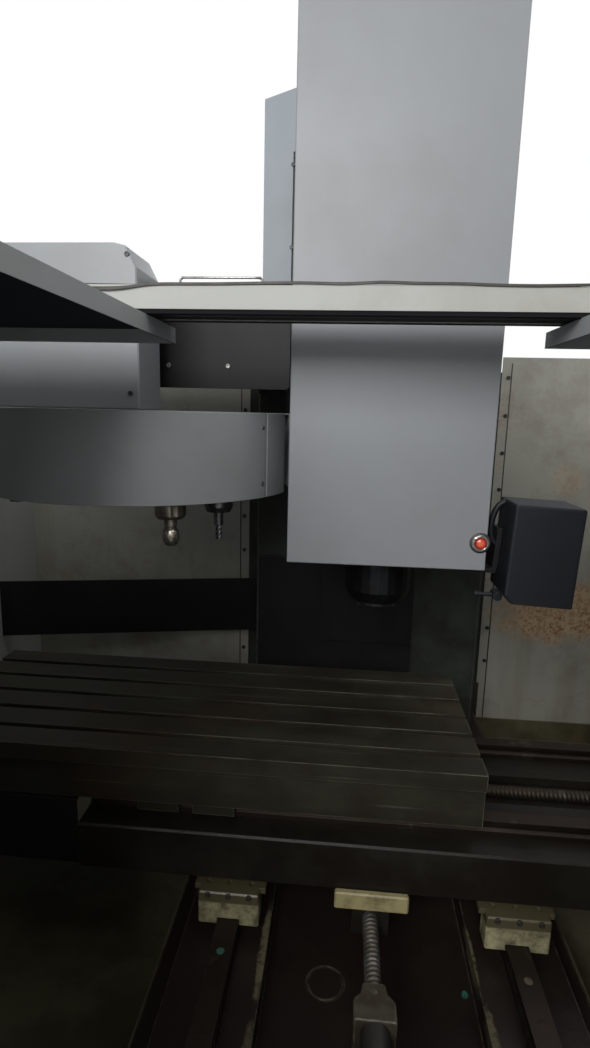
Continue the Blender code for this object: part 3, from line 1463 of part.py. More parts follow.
    def holder(name, pocket, lower, look):
        """A tapered tool holder in a pocket: its lower profile comes as (radius, drop) points."""
        turn = math.radians(POCKET_START + pocket * 360 / POCKET_COUNT)
        place = (
            middle_x + POCKET_RADIUS * math.cos(turn),
            middle_y + POCKET_RADIUS * math.sin(turn),
            0,
        )
        bottom = groove_low - 0.005
        profile = [
            (0.0, groove_high + 0.075),
            (0.011, groove_high + 0.075),
            (0.022, groove_high + 0.006),
            (FLANGE_RADIUS, groove_high + 0.005),
            (FLANGE_RADIUS, groove_high),
            (GROOVE_RADIUS - RUN, groove_high),
            (GROOVE_RADIUS - RUN, groove_low),
            (FLANGE_RADIUS, groove_low),
            (FLANGE_RADIUS, bottom),
            *[(radius, bottom - drop) for radius, drop in lower],
        ]
        return finish(turned(name, profile, place, steps=16), look)

    end_mill = [
        (0.031, 0.001),
        (0.031, 0.052),
        (0.026, 0.062),
        (0.010, 0.064),
        (0.010, 0.090),
        (0.007, 0.092),
        (0.007, 0.122),
        (0.0, 0.122),
    ]
    nut_and_ball = [
        (0.024, 0.001),
        (0.024, 0.036),
        (0.031, 0.038),
        (0.031, 0.062),
        (0.026, 0.068),
        (0.013, 0.069),
        (0.013, 0.084),
        (0.016, 0.088),
        (0.016, 0.112),
        (0.011, 0.122),
        (0.0, 0.125),
    ]
    square = [
        (0.022, 0.001),
        (0.022, 0.040),
        (0.018, 0.042),
        (0.018, 0.062),
        (0.0, 0.062),
    ]
    tools = (
        holder("tool_end_mill", 0, end_mill, OILED_STEEL),
        holder("tool_collet_nut", -1, nut_and_ball, BRIGHT_STEEL),
        holder("tool_square_shank", -5, square, OILED_STEEL),
    )
    changer = axis_at("tc_slide_axis", (middle_x, middle_y, DRUM_TOP))
    carry(changer, box, drum)
    carry(axis_at("carousel_axis", (middle_x, middle_y, DISC_Z), changer), disc, *tools)


# Enclosure: walls, front frame, header beam, black band and chip tray
def make_enclosure():
    inner = CASE_INNER
    wall_front = -CASE_FRONT + FRONT_SHEET + GAP
    side_view = [
        (wall_front, CASE_BOTTOM),
        (CASE_BACK, CASE_BOTTOM),
        (CASE_BACK, CASE_TOP - 0.040),
        (CASE_BACK - 0.040, CASE_TOP),
        (wall_front, CASE_TOP),
    ]
    finish(plate("left_wall", side_view, -CASE_HALF, -inner, "x"), CASE_PAINT)
    finish(plate("right_wall", side_view, inner, CASE_HALF, "x"), CASE_PAINT)

    sheet_back = EAR_FACE - GAP
    for side, name in ((-1, "rear_wall_left"), (1, "rear_wall_right")):
        span = sorted((side * REAR_INNER, side * (inner - GAP)))
        wall = block(name, span, (sheet_back - REAR_SHEET, sheet_back), (REAR_BOTTOM, CASE_TOP))
        finish(wall, CASE_PAINT)

    doorway = DOORWAY_WIDTH / 2
    right = [
        (CASE_HALF, CASE_BOTTOM),
        (CASE_HALF, GUARD_TOP),
        (doorway, GUARD_TOP),
        (doorway, SILL_HEIGHT),
    ]
    front = plate("front_panel", right + mirrored_x(right), -CASE_FRONT, -CASE_FRONT + FRONT_SHEET, "y")
    sill = block(
        "front_sill",
        (-inner, inner),
        (-CASE_FRONT - SILL_DEPTH, -CASE_FRONT + 0.005),
        (SILL_HEIGHT - SILL_THICKNESS, SILL_HEIGHT),
    )
    track_y = -DOOR_FRONT + DOOR_DEPTH / 2
    track = block(
        "front_track",
        (-inner, inner),
        (track_y - TRACK_WIDTH / 2, track_y + TRACK_WIDTH / 2),
        (SILL_HEIGHT - 0.005, SILL_HEIGHT + TRACK_HEIGHT - GAP),
    )
    join(front, sill, track)
    finish(front, CASE_PAINT)

    beam_low = ROOF_TOP + 0.007
    beam_top = beam_low + BEAM_HEIGHT
    beam_back = -BEAM_FRONT + BEAM_DEPTH
    channel = [
        (-BEAM_FRONT, beam_low),
        (-BEAM_FRONT, beam_top),
        (beam_back, beam_top),
        (beam_back, beam_low),
        (beam_back - BEAM_LIP, beam_low),
        (beam_back - BEAM_LIP, beam_low + SKIN),
        (beam_back - SKIN, beam_low + SKIN),
        (beam_back - SKIN, beam_top - SKIN),
        (-BEAM_FRONT + SKIN, beam_top - SKIN),
        (-BEAM_FRONT + SKIN, beam_low + SKIN),
        (-BEAM_FRONT + BEAM_LIP, beam_low + SKIN),
        (-BEAM_FRONT + BEAM_LIP, beam_low),
    ]
    beam = plate("header_beam", channel, -inner + GAP, inner - GAP, "x")
    strip = block(
        "beam_guide_strip",
        (-inner + GAP * 2, inner - GAP * 2),
        (-BEAM_FRONT + 0.002, -BEAM_FRONT + 0.002 + GUIDE_STRIP),
        (ROOF_TOP + RUN, beam_low + 0.001),
    )
    join(beam, strip)
    finish(beam, CASE_PAINT)

    left_end = -inner + GAP
    right_end = -COLUMN_WIDTH / 2 - GAP
    band_outline = [
        (left_end, BAND_LEFT),
        (right_end, BAND_RIGHT),
        (right_end, BAND_RIGHT + BAND_THICKNESS),
        (left_end, BAND_LEFT + BAND_THICKNESS),
    ]
    band = plate("rear_guard", band_outline, BAND_BOTTOM, BAND_BOTTOM + BAND_HEIGHT, "z")
    finish(band, BLACK_SHEET)

    def tray_outline(grow):
        outer = inner - GAP - grow
        near = BASE_WIDTH / 2 + GAP + grow
        front_outer = -CASE_FRONT + FRONT_SHEET + GAP + grow
        front_inner = -BED_FRONT - GAP - grow
        back = sheet_back - REAR_SHEET - GAP - grow
        right_side = [(near, back), (near, front_inner)]
        return [
            (-outer, front_outer),
            (outer, front_outer),
            (outer, back),
            *right_side,
            *[(-x, y) for x, y in reversed(right_side)],
            (-outer, back),
        ]

    tray_top = TRAY_BOTTOM + TRAY_HEIGHT
    tray = plate("chip_tray", tray_outline(0.0), TRAY_BOTTOM, tray_top, "z")
    room = plate("chip_tray_room", tray_outline(TRAY_LIP), TRAY_BOTTOM + TRAY_FLOOR, tray_top + 0.010, "z")
    cut(tray, room)
    finish(tray, TRAY_PAINT)


# Doors: each is one folded tray with a front panel and a roof panel, a window and a bar handle
def make_doors():
    door_low = SILL_HEIGHT + TRACK_HEIGHT

    def bent_panel(inset, open_side):
        """The door's side view: an upright panel and a roof panel, shrunk by the sheet."""
        depth = DOOR_DEPTH + open_side
        return [
            (-DOOR_FRONT + inset, door_low + inset),
            (-DOOR_FRONT + depth, door_low + inset),
            (-DOOR_FRONT + depth, ROOF_TOP - depth),
            (-ROOF_BACK - inset, ROOF_TOP - depth),
            (-ROOF_BACK - inset, ROOF_TOP - inset),
            (-DOOR_FRONT + inset, ROOF_TOP - inset),
        ]

    doors = (
        ("left", LEFT_DOOR_EDGE - DOOR_WIDTH, LEFT_DOOR_EDGE, LEFT_DOOR_EDGE - 0.055),
        ("right", RIGHT_DOOR_EDGE, RIGHT_DOOR_EDGE + DOOR_WIDTH, RIGHT_DOOR_EDGE + 0.055),
    )
    for side, low, high, handle_x in doors:
        door = plate(side + "_door", bent_panel(0.0, 0.0), low, high, "x")
        room = plate(side + "_door_room", bent_panel(SKIN, 0.010), low + SKIN, high - SKIN, "x")
        middle = (low + high) / 2
        window_half = WINDOW_WIDTH / 2
        opening = block(
            side + "_door_opening",
            (middle - window_half, middle + window_half),
            (-DOOR_FRONT - 0.010, -DOOR_FRONT + 0.010),
            (WINDOW_BOTTOM, WINDOW_BOTTOM + WINDOW_HEIGHT),
        )
        cut(door, room, opening)
        grip_z = WINDOW_BOTTOM + WINDOW_HEIGHT / 2
        out = -DOOR_FRONT - HANDLE_REACH
        ends = (grip_z - HANDLE_LENGTH / 2, grip_z + HANDLE_LENGTH / 2)
        inside = -DOOR_FRONT + SKIN / 2
        route = [
            (handle_x, inside, ends[0]),
            (handle_x, out, ends[0]),
            (handle_x, out, ends[1]),
            (handle_x, inside, ends[1]),
        ]
        join(door, tube(side + "_door_handle", bent(route, HANDLE_REACH * 0.6, 4), HANDLE_RADIUS))
        finish(door, CASE_PAINT)
        face = -DOOR_FRONT + SKIN + GAP
        window = block(
            side + "_window",
            (middle - window_half - WINDOW_LAP, middle + window_half + WINDOW_LAP),
            (face, face + WINDOW_THICKNESS),
            (WINDOW_BOTTOM - WINDOW_LAP, WINDOW_BOTTOM + WINDOW_HEIGHT + WINDOW_LAP),
        )
        finish(window, CLEAR_SHEET)
        carry(axis_at(side + "_door_axis", (middle, -DOOR_FRONT, door_low)), door, window)


# Control cabinet with a hinged door, on the column's back
def make_cabinet():
    half = CABINET_WIDTH / 2
    low = CABINET_BOTTOM
    high = low + CABINET_HEIGHT
    front = max(COLUMN_BACK, BASE_BACK) + 0.010 + GAP
    back = CABINET_BACK - CABINET_DOOR - GAP
    cabinet = block("control_cabinet", (-half, half), (front, back), (low, high))
    room = block(
        "control_cabinet_room",
        (-half + CABINET_WALL, half - CABINET_WALL),
        (front + CABINET_WALL, back + 0.010),
        (low + CABINET_WALL, high - CABINET_WALL),
    )
    cut(cabinet, room)
    for z in (low + 0.250, high - 0.250):
        seat = block("cabinet_mount", (-0.200, 0.200), (COLUMN_BACK + GAP, front + 0.002), (z - 0.040, z + 0.040))
        join(cabinet, seat)
    finish(cabinet, CASE_PAINT)
    door = block("cabinet_door", (-half, half), (CABINET_BACK - CABINET_DOOR, CABINET_BACK), (low, high))
    bevel(door, 0.003)
    latch = block(
        "cabinet_latch",
        (-half + 0.030, -half + 0.060),
        (CABINET_BACK - 0.012, CABINET_BACK + 0.010),
        ((low + high) / 2 - 0.060, (low + high) / 2 + 0.060),
    )
    cut(door, latch)
    finish(door, CASE_PAINT)
    carry(axis_at("cabinet_door_axis", (half, CABINET_BACK, low)), door)


# Operator's pendant on a bent arm that stands on the header beam
def make_pendant():
    x, y = PENDANT_PLACE
    beam_top = ROOF_TOP + 0.007 + BEAM_HEIGHT
    beam_middle = -BEAM_FRONT + BEAM_DEPTH / 2
    top = PENDANT_BOTTOM + PENDANT_HEIGHT
    route = [
        (x, beam_middle, beam_top + GAP + ARM_SEAT),
        (x, beam_middle, ARM_TOP),
        (x, y, ARM_TOP),
        (x, y, top + GAP),
    ]
    arm = tube("pendant_arm", bent(route, ARM_BEND, 6), ARM_RADIUS)
    foot = block(
        "pendant_foot",
        (x - ARM_FOOT, x + ARM_FOOT),
        (beam_middle - ARM_FOOT, beam_middle + ARM_FOOT),
        (beam_top + GAP, beam_top + GAP + ARM_FOOT_THICKNESS),
    )
    join(arm, foot)
    finish(arm, CASE_PAINT)

    half = PENDANT_WIDTH / 2
    front = y - PENDANT_DEPTH / 2
    case = block("pendant_box", (x - half, x + half), (front, y + PENDANT_DEPTH / 2), (PENDANT_BOTTOM, top))
    bevel(case, 0.008, 2)
    screen_top = top - 0.035
    screen = block(
        "pendant_screen_recess",
        (x - SCREEN_WIDTH / 2, x + SCREEN_WIDTH / 2),
        (front - 0.010, front + SCREEN_DEPTH),
        (screen_top - SCREEN_HEIGHT, screen_top),
    )
    stop_place = (x - half * 0.55, front, top - ESTOP_DROP)
    wheel_place = (x + half * 0.35, front, top - ESTOP_DROP)
    stem_room = round_bar("pendant_stop_bore", stop_place, ESTOP_STEM + RUN, 0.050, "y", 16)
    wheel_room = round_bar("pendant_wheel_bore", wheel_place, ESTOP_STEM + RUN, 0.030, "y", 16)
    cut(case, screen, stem_room, wheel_room)
    finish(case, BLUE_PAINT)

    stand = ESTOP_TRAVEL + 0.002
    stop_profile = [
        (0.0, stand + 0.016),
        (ESTOP_RADIUS * 0.7, stand + 0.015),
        (ESTOP_RADIUS, stand + 0.009),
        (ESTOP_RADIUS, stand),
        (ESTOP_STEM, stand),
        (ESTOP_STEM, -0.016),
        (0.0, -0.016),
    ]
    stop = turned("estop_button", stop_profile, stop_place, "y", 20)
    finish(stop, SIGNAL_RED)
    wheel_profile = [
        (0.0, WHEEL_DEPTH),
        (WHEEL_RADIUS - 0.003, WHEEL_DEPTH),
        (WHEEL_RADIUS, WHEEL_DEPTH - 0.003),
        (WHEEL_RADIUS, RUN),
        (ESTOP_STEM, RUN),
        (ESTOP_STEM, -0.012),
        (0.0, -0.012),
    ]
    wheel = turned("jog_wheel", wheel_profile, wheel_place, "y", 28)
    knob_place = (wheel_place[0], front - WHEEL_DEPTH - 0.006, wheel_place[2] + WHEEL_RADIUS * 0.62)
    join(wheel, round_bar("jog_wheel_knob", knob_place, 0.006, 0.018, "y", 12))
    finish(wheel, DARK_PLASTIC)
    swing = axis_at("pendant_axis", (x, y, top))
    carry(swing, case)
    carry(axis_at("estop_axis", stop_place, swing), stop)
    carry(axis_at("jog_wheel_axis", wheel_place, swing), wheel)


SADDLE = axis_at("saddle_axis", (SADDLE_X, SADDLE_Y, SADDLE_BOTTOM))
HEAD = axis_at("head_axis", (0, HEAD_BACK, HEAD_Z))
make_base()
make_y_rails()
make_column()
make_column_cover()
make_way_cover()
make_z_rails()
make_screws()
make_saddle()
make_table()
make_head()
make_coolant_nozzle()
make_tool_changer()
make_enclosure()
make_doors()
make_cabinet()
make_pendant()
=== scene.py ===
"""The looks of a vertical machining center: its paint, oil and wear, its small fittings and the light."""

import math

import bmesh
import bpy
import mathutils
import numpy as np
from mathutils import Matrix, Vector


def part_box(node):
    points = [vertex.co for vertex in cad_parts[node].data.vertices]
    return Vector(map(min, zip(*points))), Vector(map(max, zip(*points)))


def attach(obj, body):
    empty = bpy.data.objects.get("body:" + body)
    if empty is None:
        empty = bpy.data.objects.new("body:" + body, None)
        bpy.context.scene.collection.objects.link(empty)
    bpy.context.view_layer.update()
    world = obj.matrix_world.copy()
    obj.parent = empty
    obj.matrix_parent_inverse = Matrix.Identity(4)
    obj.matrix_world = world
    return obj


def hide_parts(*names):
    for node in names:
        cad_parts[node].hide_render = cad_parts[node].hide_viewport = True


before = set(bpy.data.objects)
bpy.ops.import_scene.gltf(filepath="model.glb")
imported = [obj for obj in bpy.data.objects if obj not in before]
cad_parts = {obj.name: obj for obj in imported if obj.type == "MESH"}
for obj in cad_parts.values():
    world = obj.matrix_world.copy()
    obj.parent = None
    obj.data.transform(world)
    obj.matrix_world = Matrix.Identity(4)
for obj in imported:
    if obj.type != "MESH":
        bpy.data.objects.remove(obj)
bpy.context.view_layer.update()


# Bed: one iron casting under old green-grey paint, with two ground guide rails bolted to its ledges.
# It has stood under coolant for years, so a brown film of oil lies on every flat and gathers in the
# channel, and the paint is worn to bare iron along the edges.


def add(tree, kind, inputs=None, **settings):
    """A node of a kind, with its settings made and each input set to a value or wired to a socket."""
    node = tree.nodes.new("ShaderNode" + kind)
    for key, value in settings.items():
        setattr(node, key, value)
    for label, value in (inputs or {}).items():
        if isinstance(value, bpy.types.NodeSocket):
            tree.links.new(value, node.inputs[label])
        else:
            node.inputs[label].default_value = value
    return node


def calc(tree, operation, first, second):
    """One sum on two values, kept between 0 and 1."""
    return add(tree, "Math", {0: first, 1: second}, operation=operation, use_clamp=True).outputs[0]


def spread(tree, value, low, high):
    """The value stretched so that low becomes 0 and high becomes 1."""
    return add(tree, "MapRange", {"Value": value, "From Min": low, "From Max": high}).outputs[0]


def ramp(tree, mask, start, end):
    """A value that goes from start to end as the mask rises from 0 to 1."""
    return add(tree, "MapRange", {"Value": mask, "To Min": start, "To Max": end}).outputs[0]


def tint(tree, mask, below, above):
    """One colour where the mask is 0 and another where it is 1. A plain colour gets its alpha here."""
    wired = bpy.types.NodeSocket
    ends = [end if isinstance(end, wired) else (*end, 1.0) for end in (below, above)]
    return add(tree, "Mix", {0: mask, 6: ends[0], 7: ends[1]}, data_type="RGBA").outputs[2]


def times(colour, share):
    """A plain colour made darker or lighter."""
    return [channel * share for channel in colour]


def along(tree, axis, facing=False):
    """How far the shaded point lies along an axis, or how much the surface faces along it."""
    source = add(tree, "NewGeometry").outputs["Normal"] if facing else add(tree, "TexCoord").outputs["Object"]
    return add(tree, "SeparateXYZ", {0: source}).outputs["xyz".index(axis)]


def cloud(tree, scale, detail, stretch=(1.0, 1.0, 1.0), rough=0.6):
    """Noise on Object coordinates, stretched along an axis where its number is small."""
    place = add(tree, "TexCoord").outputs["Object"]
    turned = add(tree, "Mapping", {"Vector": place, "Scale": stretch}).outputs[0]
    inputs = {"Vector": turned, "Scale": scale, "Detail": detail, "Roughness": rough}
    return add(tree, "TexNoise", inputs).outputs["Fac"]


def effect(name, inputs, outputs):
    """An empty node group with float inputs by name and default, and value outputs."""
    group = bpy.data.node_groups.new(name, "ShaderNodeTree")
    for label, default in inputs.items():
        socket = group.interface.new_socket(label, in_out="INPUT", socket_type="NodeSocketFloat")
        socket.default_value = default
    for label in outputs:
        group.interface.new_socket(label, in_out="OUTPUT", socket_type="NodeSocketFloat")
    return group, group.nodes.new("NodeGroupInput").outputs, group.nodes.new("NodeGroupOutput").inputs


def make_edge_wear():
    """Bare edges: where a rounded normal leaves the face's own, broken up by noise."""
    group, given, out = effect("edge_wear", {"Radius": 0.002, "Breakup": 60.0, "Amount": 0.6}, ["Mask"])
    rounded = add(group, "Bevel", {"Radius": given["Radius"]}, samples=4).outputs[0]
    flat = add(group, "NewGeometry").outputs["Normal"]
    match = add(group, "VectorMath", {0: rounded, 1: flat}, operation="DOT_PRODUCT").outputs["Value"]
    turn = calc(group, "SUBTRACT", 1.0, match)
    edge = spread(group, turn, 0.01, 0.12)
    broken = spread(group, cloud(group, given["Breakup"], 3.0), 0.35, 0.62)
    worn = calc(group, "MULTIPLY", edge, broken)
    group.links.new(calc(group, "MULTIPLY", worn, given["Amount"]), out["Mask"])
    return group


def make_settled_dirt():
    """Dirt: cloudy stains everywhere and an even film where a face looks up."""
    group, given, out = effect(
        "settled_dirt", {"Scale": 3.0, "Cover": 0.5, "Amount": 0.6, "Film": 0.3}, ["Mask"]
    )
    low = calc(group, "SUBTRACT", 0.82, given["Cover"])
    stain = spread(group, cloud(group, given["Scale"], 6.0, rough=0.68), low, calc(group, "ADD", low, 0.24))
    marks = calc(group, "MULTIPLY", stain, given["Amount"])
    up = along(group, "z", facing=True)
    film = calc(group, "MULTIPLY", spread(group, up, 0.5, 0.95), given["Film"])
    group.links.new(calc(group, "MAXIMUM", marks, film), out["Mask"])
    return group


def make_runs():
    """Runs: noise drawn out along Z, for drips and wipe marks on upright faces."""
    group, given, out = effect("runs", {"Scale": 10.0, "Stretch": 0.08, "Amount": 0.4}, ["Mask"])
    along = add(group, "CombineXYZ", {0: 1.0, 1: 1.0, 2: given["Stretch"]}).outputs[0]
    streak = spread(group, cloud(group, given["Scale"], 5.0, along), 0.52, 0.74)
    group.links.new(calc(group, "MULTIPLY", streak, given["Amount"]), out["Mask"])
    return group


def make_rust_spots():
    """Rust: fine noise that breaks through only where a slower noise lets it."""
    group, given, out = effect("rust_spots", {"Scale": 4.0, "Cover": 0.3, "Fine": 60.0}, ["Mask", "Bloom"])
    patch = cloud(group, given["Scale"], 3.0)
    edge = calc(group, "SUBTRACT", 0.85, given["Cover"])
    bloom = spread(group, patch, edge, calc(group, "ADD", edge, 0.18))
    pits = spread(group, cloud(group, given["Fine"], 6.0, rough=0.7), 0.45, 0.60)
    group.links.new(calc(group, "MULTIPLY", bloom, pits), out["Mask"])
    group.links.new(bloom, out["Bloom"])
    return group


EFFECTS = {
    "edge_wear": make_edge_wear(),
    "settled_dirt": make_settled_dirt(),
    "runs": make_runs(),
    "rust_spots": make_rust_spots(),
}


def use(tree, name, output="Mask", **values):
    """A shared effect with this material's own values."""
    node = add(tree, "Group", node_tree=EFFECTS[name])
    for label, value in values.items():
        node.inputs[label].default_value = value
    return node.outputs[output]


def blank(name, **values):
    """A new material: its node tree and its Principled shader with plain values set on the sockets."""
    material = bpy.data.materials.new(name)
    material.use_nodes = True
    tree = material.node_tree
    shader = tree.nodes["Principled BSDF"]
    for label, value in values.items():
        shader.inputs[label.replace("_", " ")].default_value = value
    return material, tree, shader


def surface(tree, shader, colour, rough):
    """Wire the colour and the roughness that the masks have made to the shader."""
    tree.links.new(colour, shader.inputs["Base Color"])
    tree.links.new(rough, shader.inputs["Roughness"])


def grain(tree, shader, height, strength, soften=0.0012):
    """The surface's fine relief over edges that are softened by a small radius."""
    rounded = add(tree, "Bevel", {"Radius": soften}, samples=4).outputs[0]
    inputs = {"Height": height, "Strength": strength, "Distance": 0.0006, "Normal": rounded}
    tree.links.new(add(tree, "Bump", inputs).outputs[0], shader.inputs["Normal"])


def patch_of(tree, centre, reach, scale):
    """1 at a place and 0 beyond its reach, with a ragged edge from noise."""
    place = add(tree, "TexCoord").outputs["Object"]
    moved = add(tree, "VectorMath", {0: place, 1: centre}, operation="SUBTRACT").outputs[0]
    shrink = [1.0 / distance for distance in reach]
    squeezed = add(tree, "VectorMath", {0: moved, 1: shrink}, operation="MULTIPLY").outputs[0]
    distance = add(tree, "VectorMath", {0: squeezed}, operation="LENGTH").outputs["Value"]
    noise = cloud(tree, scale, 6.0, rough=0.65)
    ragged = add(tree, "Math", {0: noise, 1: 0.9}, operation="MULTIPLY").outputs[0]
    total = add(tree, "Math", {0: distance, 1: ragged}, operation="ADD").outputs[0]
    return spread(tree, total, 1.22, 0.98)


MOTTLE = 0.86
RUST_STAIN = (0.30, 0.16, 0.07)
RUST_PIT = (0.13, 0.045, 0.018)
RUST_HALO = 0.35
UNDER_ROUGHNESS = 0.92


def coat_of_paint(name, paint, bare, dirt, wear, stain, run, gloss, peel=260.0, relief=0.25,
                  rust=None, under=None, shine=0.5, patches=()):
    """Paint over metal: mottled colour, dirt and runs over it, bare edges and, where given, rust.

    wear is (radius, amount), stain (scale, cover, amount, film), run (scale, amount), gloss the
    roughness clean and dirty, rust (scale, cover), and under (colour, height), painted shade: a dark
    colour on what looks down or lies below that height. patches are places where an older coat shows
    or a crust has dried: (centre, reach, raggedness, colour).
    """
    material, tree, shader = blank(name, Specular_IOR_Level=shine)
    colour = tint(tree, cloud(tree, 2.2, 5.0), times(paint, MOTTLE), paint)
    soil = use(tree, "settled_dirt", Scale=stain[0], Cover=stain[1], Amount=stain[2], Film=stain[3])
    drips = use(tree, "runs", Scale=run[0], Amount=run[1])
    soiled = calc(tree, "MAXIMUM", soil, drips)
    colour = tint(tree, soiled, colour, dirt)
    worn = use(tree, "edge_wear", Radius=wear[0], Amount=wear[1])
    colour = tint(tree, worn, colour, bare)
    rough = ramp(tree, soiled, *gloss)
    if rust:
        bloom = use(tree, "rust_spots", "Bloom", Scale=rust[0], Cover=rust[1])
        pits = use(tree, "rust_spots", Scale=rust[0], Cover=rust[1])
        colour = tint(tree, calc(tree, "MULTIPLY", bloom, RUST_HALO), colour, RUST_STAIN)
        colour = tint(tree, pits, colour, RUST_PIT)
    for centre, reach, ragged, crust in patches:
        bitten = spread(tree, cloud(tree, ragged * 2.5, 5.0, rough=0.7), 0.36, 0.52)
        spot = calc(tree, "MULTIPLY", patch_of(tree, centre, reach, ragged), bitten)
        colour = tint(tree, spot, colour, crust)
    # Painted shade: faces that look down, and all below the given height, take the near-black colour given as
    # film.
    if under:
        film, top = under
        painted_shade_below_height = spread(tree, along(tree, "z"), top, top - 0.001)
        below = calc(tree, "MAXIMUM", spread(tree, along(tree, "z", facing=True), -0.5, -0.85), painted_shade_below_height)
        colour = tint(tree, below, colour, tint(tree, cloud(tree, 5.0, 5.0), film, times(film, 2.2)))
        rough = calc(tree, "MAXIMUM", rough, calc(tree, "MULTIPLY", below, UNDER_ROUGHNESS))
    surface(tree, shader, colour, rough)
    grain(tree, shader, cloud(tree, peel, 2.0), relief)
    return material


def ground_steel(name, bright, film, scratch=(1.0, 0.03, 1.0), gloss=(0.22, 0.5), cover=0.5):
    """Ground steel or iron: fine scratches along one axis under a patchy film of oil."""
    material, tree, shader = blank(name, Metallic=0.85)
    lines = cloud(tree, 300.0, 3.0, scratch)
    colour = tint(tree, spread(tree, lines, 0.35, 0.65), times(bright, 0.72), bright)
    oil = use(tree, "settled_dirt", Scale=14.0, Cover=cover, Amount=0.9, Film=0.25)
    colour = tint(tree, oil, colour, film)
    surface(tree, shader, colour, ramp(tree, oil, *gloss))
    grain(tree, shader, lines, 0.12, 0.0008)
    return material


def dress(material, *nodes):
    """Give CAD nodes a finish in place of their plain one."""
    for node in nodes:
        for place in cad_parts[node].material_slots:
            place.material = material


OIL_BROWN = (0.017, 0.011, 0.009)
bed_paint = coat_of_paint(
    "bed_paint", (0.034, 0.034, 0.028), (0.24, 0.23, 0.16), OIL_BROWN,
    wear=(0.004, 0.60), stain=(5.0, 0.55, 0.95, 0.85), run=(9.0, 0.7), gloss=(0.50, 0.36),
    peel=90.0, relief=0.5, shine=0.25,
    patches=(
        ((-0.216, -0.370, 0.45), (0.014, 0.150, 0.05), 40.0, (0.145, 0.125, 0.075)),
        ((-0.218, -0.600, 0.45), (0.015, 0.120, 0.05), 40.0, (0.100, 0.085, 0.052)),
        ((0.207, -0.330, 0.45), (0.013, 0.120, 0.05), 40.0, (0.130, 0.112, 0.066)),
        ((0.216, -0.540, 0.45), (0.016, 0.140, 0.05), 40.0, (0.120, 0.102, 0.060)),
        ((0.194, -0.370, 0.42), (0.012, 0.015, 0.05), 50.0, (0.045, 0.190, 0.140)),
    ),
)
dress(bed_paint, "base_casting")
rail_steel = ground_steel("rail_steel", (0.15, 0.13, 0.11), (0.026, 0.017, 0.013), cover=0.62)
dress(rail_steel, "y_rail_left", "y_rail_right")


# Rail bolts: the rails are held by a row of socket screws sunk in counterbores, closed with caps.
# Each cap is a low round disc, all but flush with the rail so that the blocks clear it.
# Two caps have been replaced with coloured plastic plugs, one mint and one beige.

def full_turn(steps):
    """Even steps of turn once round."""
    return np.linspace(0.0, 2 * np.pi, steps, endpoint=False)


def lathe(profile, place, axis="z", steps=24):
    """A turned surface: each (radius, height) point is swept round the axis as radius times cos and sin."""
    line = np.asarray(profile, float)
    turn = full_turn(steps)
    across = line[:, :1] * np.cos(turn)
    up = line[:, :1] * np.sin(turn)
    along = np.repeat(line[:, 1:2], steps, axis=1)
    order = {"z": (across, up, along), "y": (across, -along, up), "x": (along, across, up)}[axis]
    grid = np.stack(order, -1) + np.asarray(place, float)
    return grid_faces(grid, around=True)


def grid_faces(grid, around=False, along=False):
    """The points of a grid and its quads; a closed side joins its last line to its first."""
    rows, columns = grid.shape[:2]
    index = np.arange(rows * columns).reshape(rows, columns)
    if along:
        index = np.vstack([index, index[:1]])
    if around:
        index = np.hstack([index, index[:, :1]])
    corners = (index[:-1, :-1], index[:-1, 1:], index[1:, 1:], index[1:, :-1])
    return grid.reshape(-1, 3), np.stack(corners, -1).reshape(-1, 4)


def piece(name, surfaces, material, body, sharp=40.0):
    """One object from several surfaces: doubles merged, open ends closed, faces turned outwards."""
    points = []
    faces = []
    count = 0
    for part_points, part_faces in surfaces:
        points.append(part_points)
        faces.append(part_faces + count)
        count += len(part_points)
    mesh = bpy.data.meshes.new(name)
    mesh.from_pydata(np.vstack(points).tolist(), [], np.vstack(faces).tolist())
    draft = bmesh.new()
    draft.from_mesh(mesh)
    bmesh.ops.remove_doubles(draft, verts=draft.verts, dist=0.00001)
    rims = [edge for edge in draft.edges if edge.is_boundary]
    if rims:
        bmesh.ops.holes_fill(draft, edges=rims, sides=0)
    bmesh.ops.recalc_face_normals(draft, faces=draft.faces)
    draft.to_mesh(mesh)
    draft.free()
    mesh.shade_smooth()
    mesh.set_sharp_from_angle(angle=math.radians(sharp))
    mesh.materials.append(material)
    made = bpy.data.objects.new(name, mesh)
    bpy.context.scene.collection.objects.link(made)
    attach(made, body)
    return made


def middle_of(node):
    """The middle of a CAD node's box."""
    low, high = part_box(node)
    return [(low[axis] + high[axis]) / 2 for axis in range(3)]


CAP_RADIUS = 0.008
CAP_PITCH = 0.080
CAP_RISE = 0.00012
CAP_SUNK = -0.002
cap_profile = [
    (0.0, CAP_RISE), (CAP_RADIUS - 0.001, CAP_RISE), (CAP_RADIUS, 0.0),
    (CAP_RADIUS, CAP_SUNK), (0.0, CAP_SUNK),
]
for side, near, shade in (("left", -0.426, (0.045, 0.150, 0.105)), ("right", -0.395, (0.130, 0.100, 0.065))):
    low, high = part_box("y_rail_" + side)
    middle = middle_of("y_rail_" + side)[0]
    places = np.arange(low.y + CAP_PITCH / 2, high.y, CAP_PITCH)
    plugged = places[np.argmin(abs(places - near))]
    caps = [lathe(cap_profile, (middle, y, high.z), steps=16) for y in places if y != plugged]
    plug = lathe(cap_profile, (middle, plugged, high.z), steps=16)
    piece("rail_caps_" + side, caps, rail_steel, "frame")
    plug_plastic = coat_of_paint(
        "plug_plastic_" + side, shade, times(shade, 0.6), OIL_BROWN,
        wear=(0.001, 0.5), stain=(60.0, 0.40, 0.7, 0.10), run=(60.0, 0.2), gloss=(0.5, 0.4),
    )
    piece("rail_plug_" + side, [plug], plug_plastic, "frame")


# Chip trays: folded sheet on both sides of the bed, under a film of coolant that dried olive brown.
# The film is thick on the floor and thin on the upright lips.

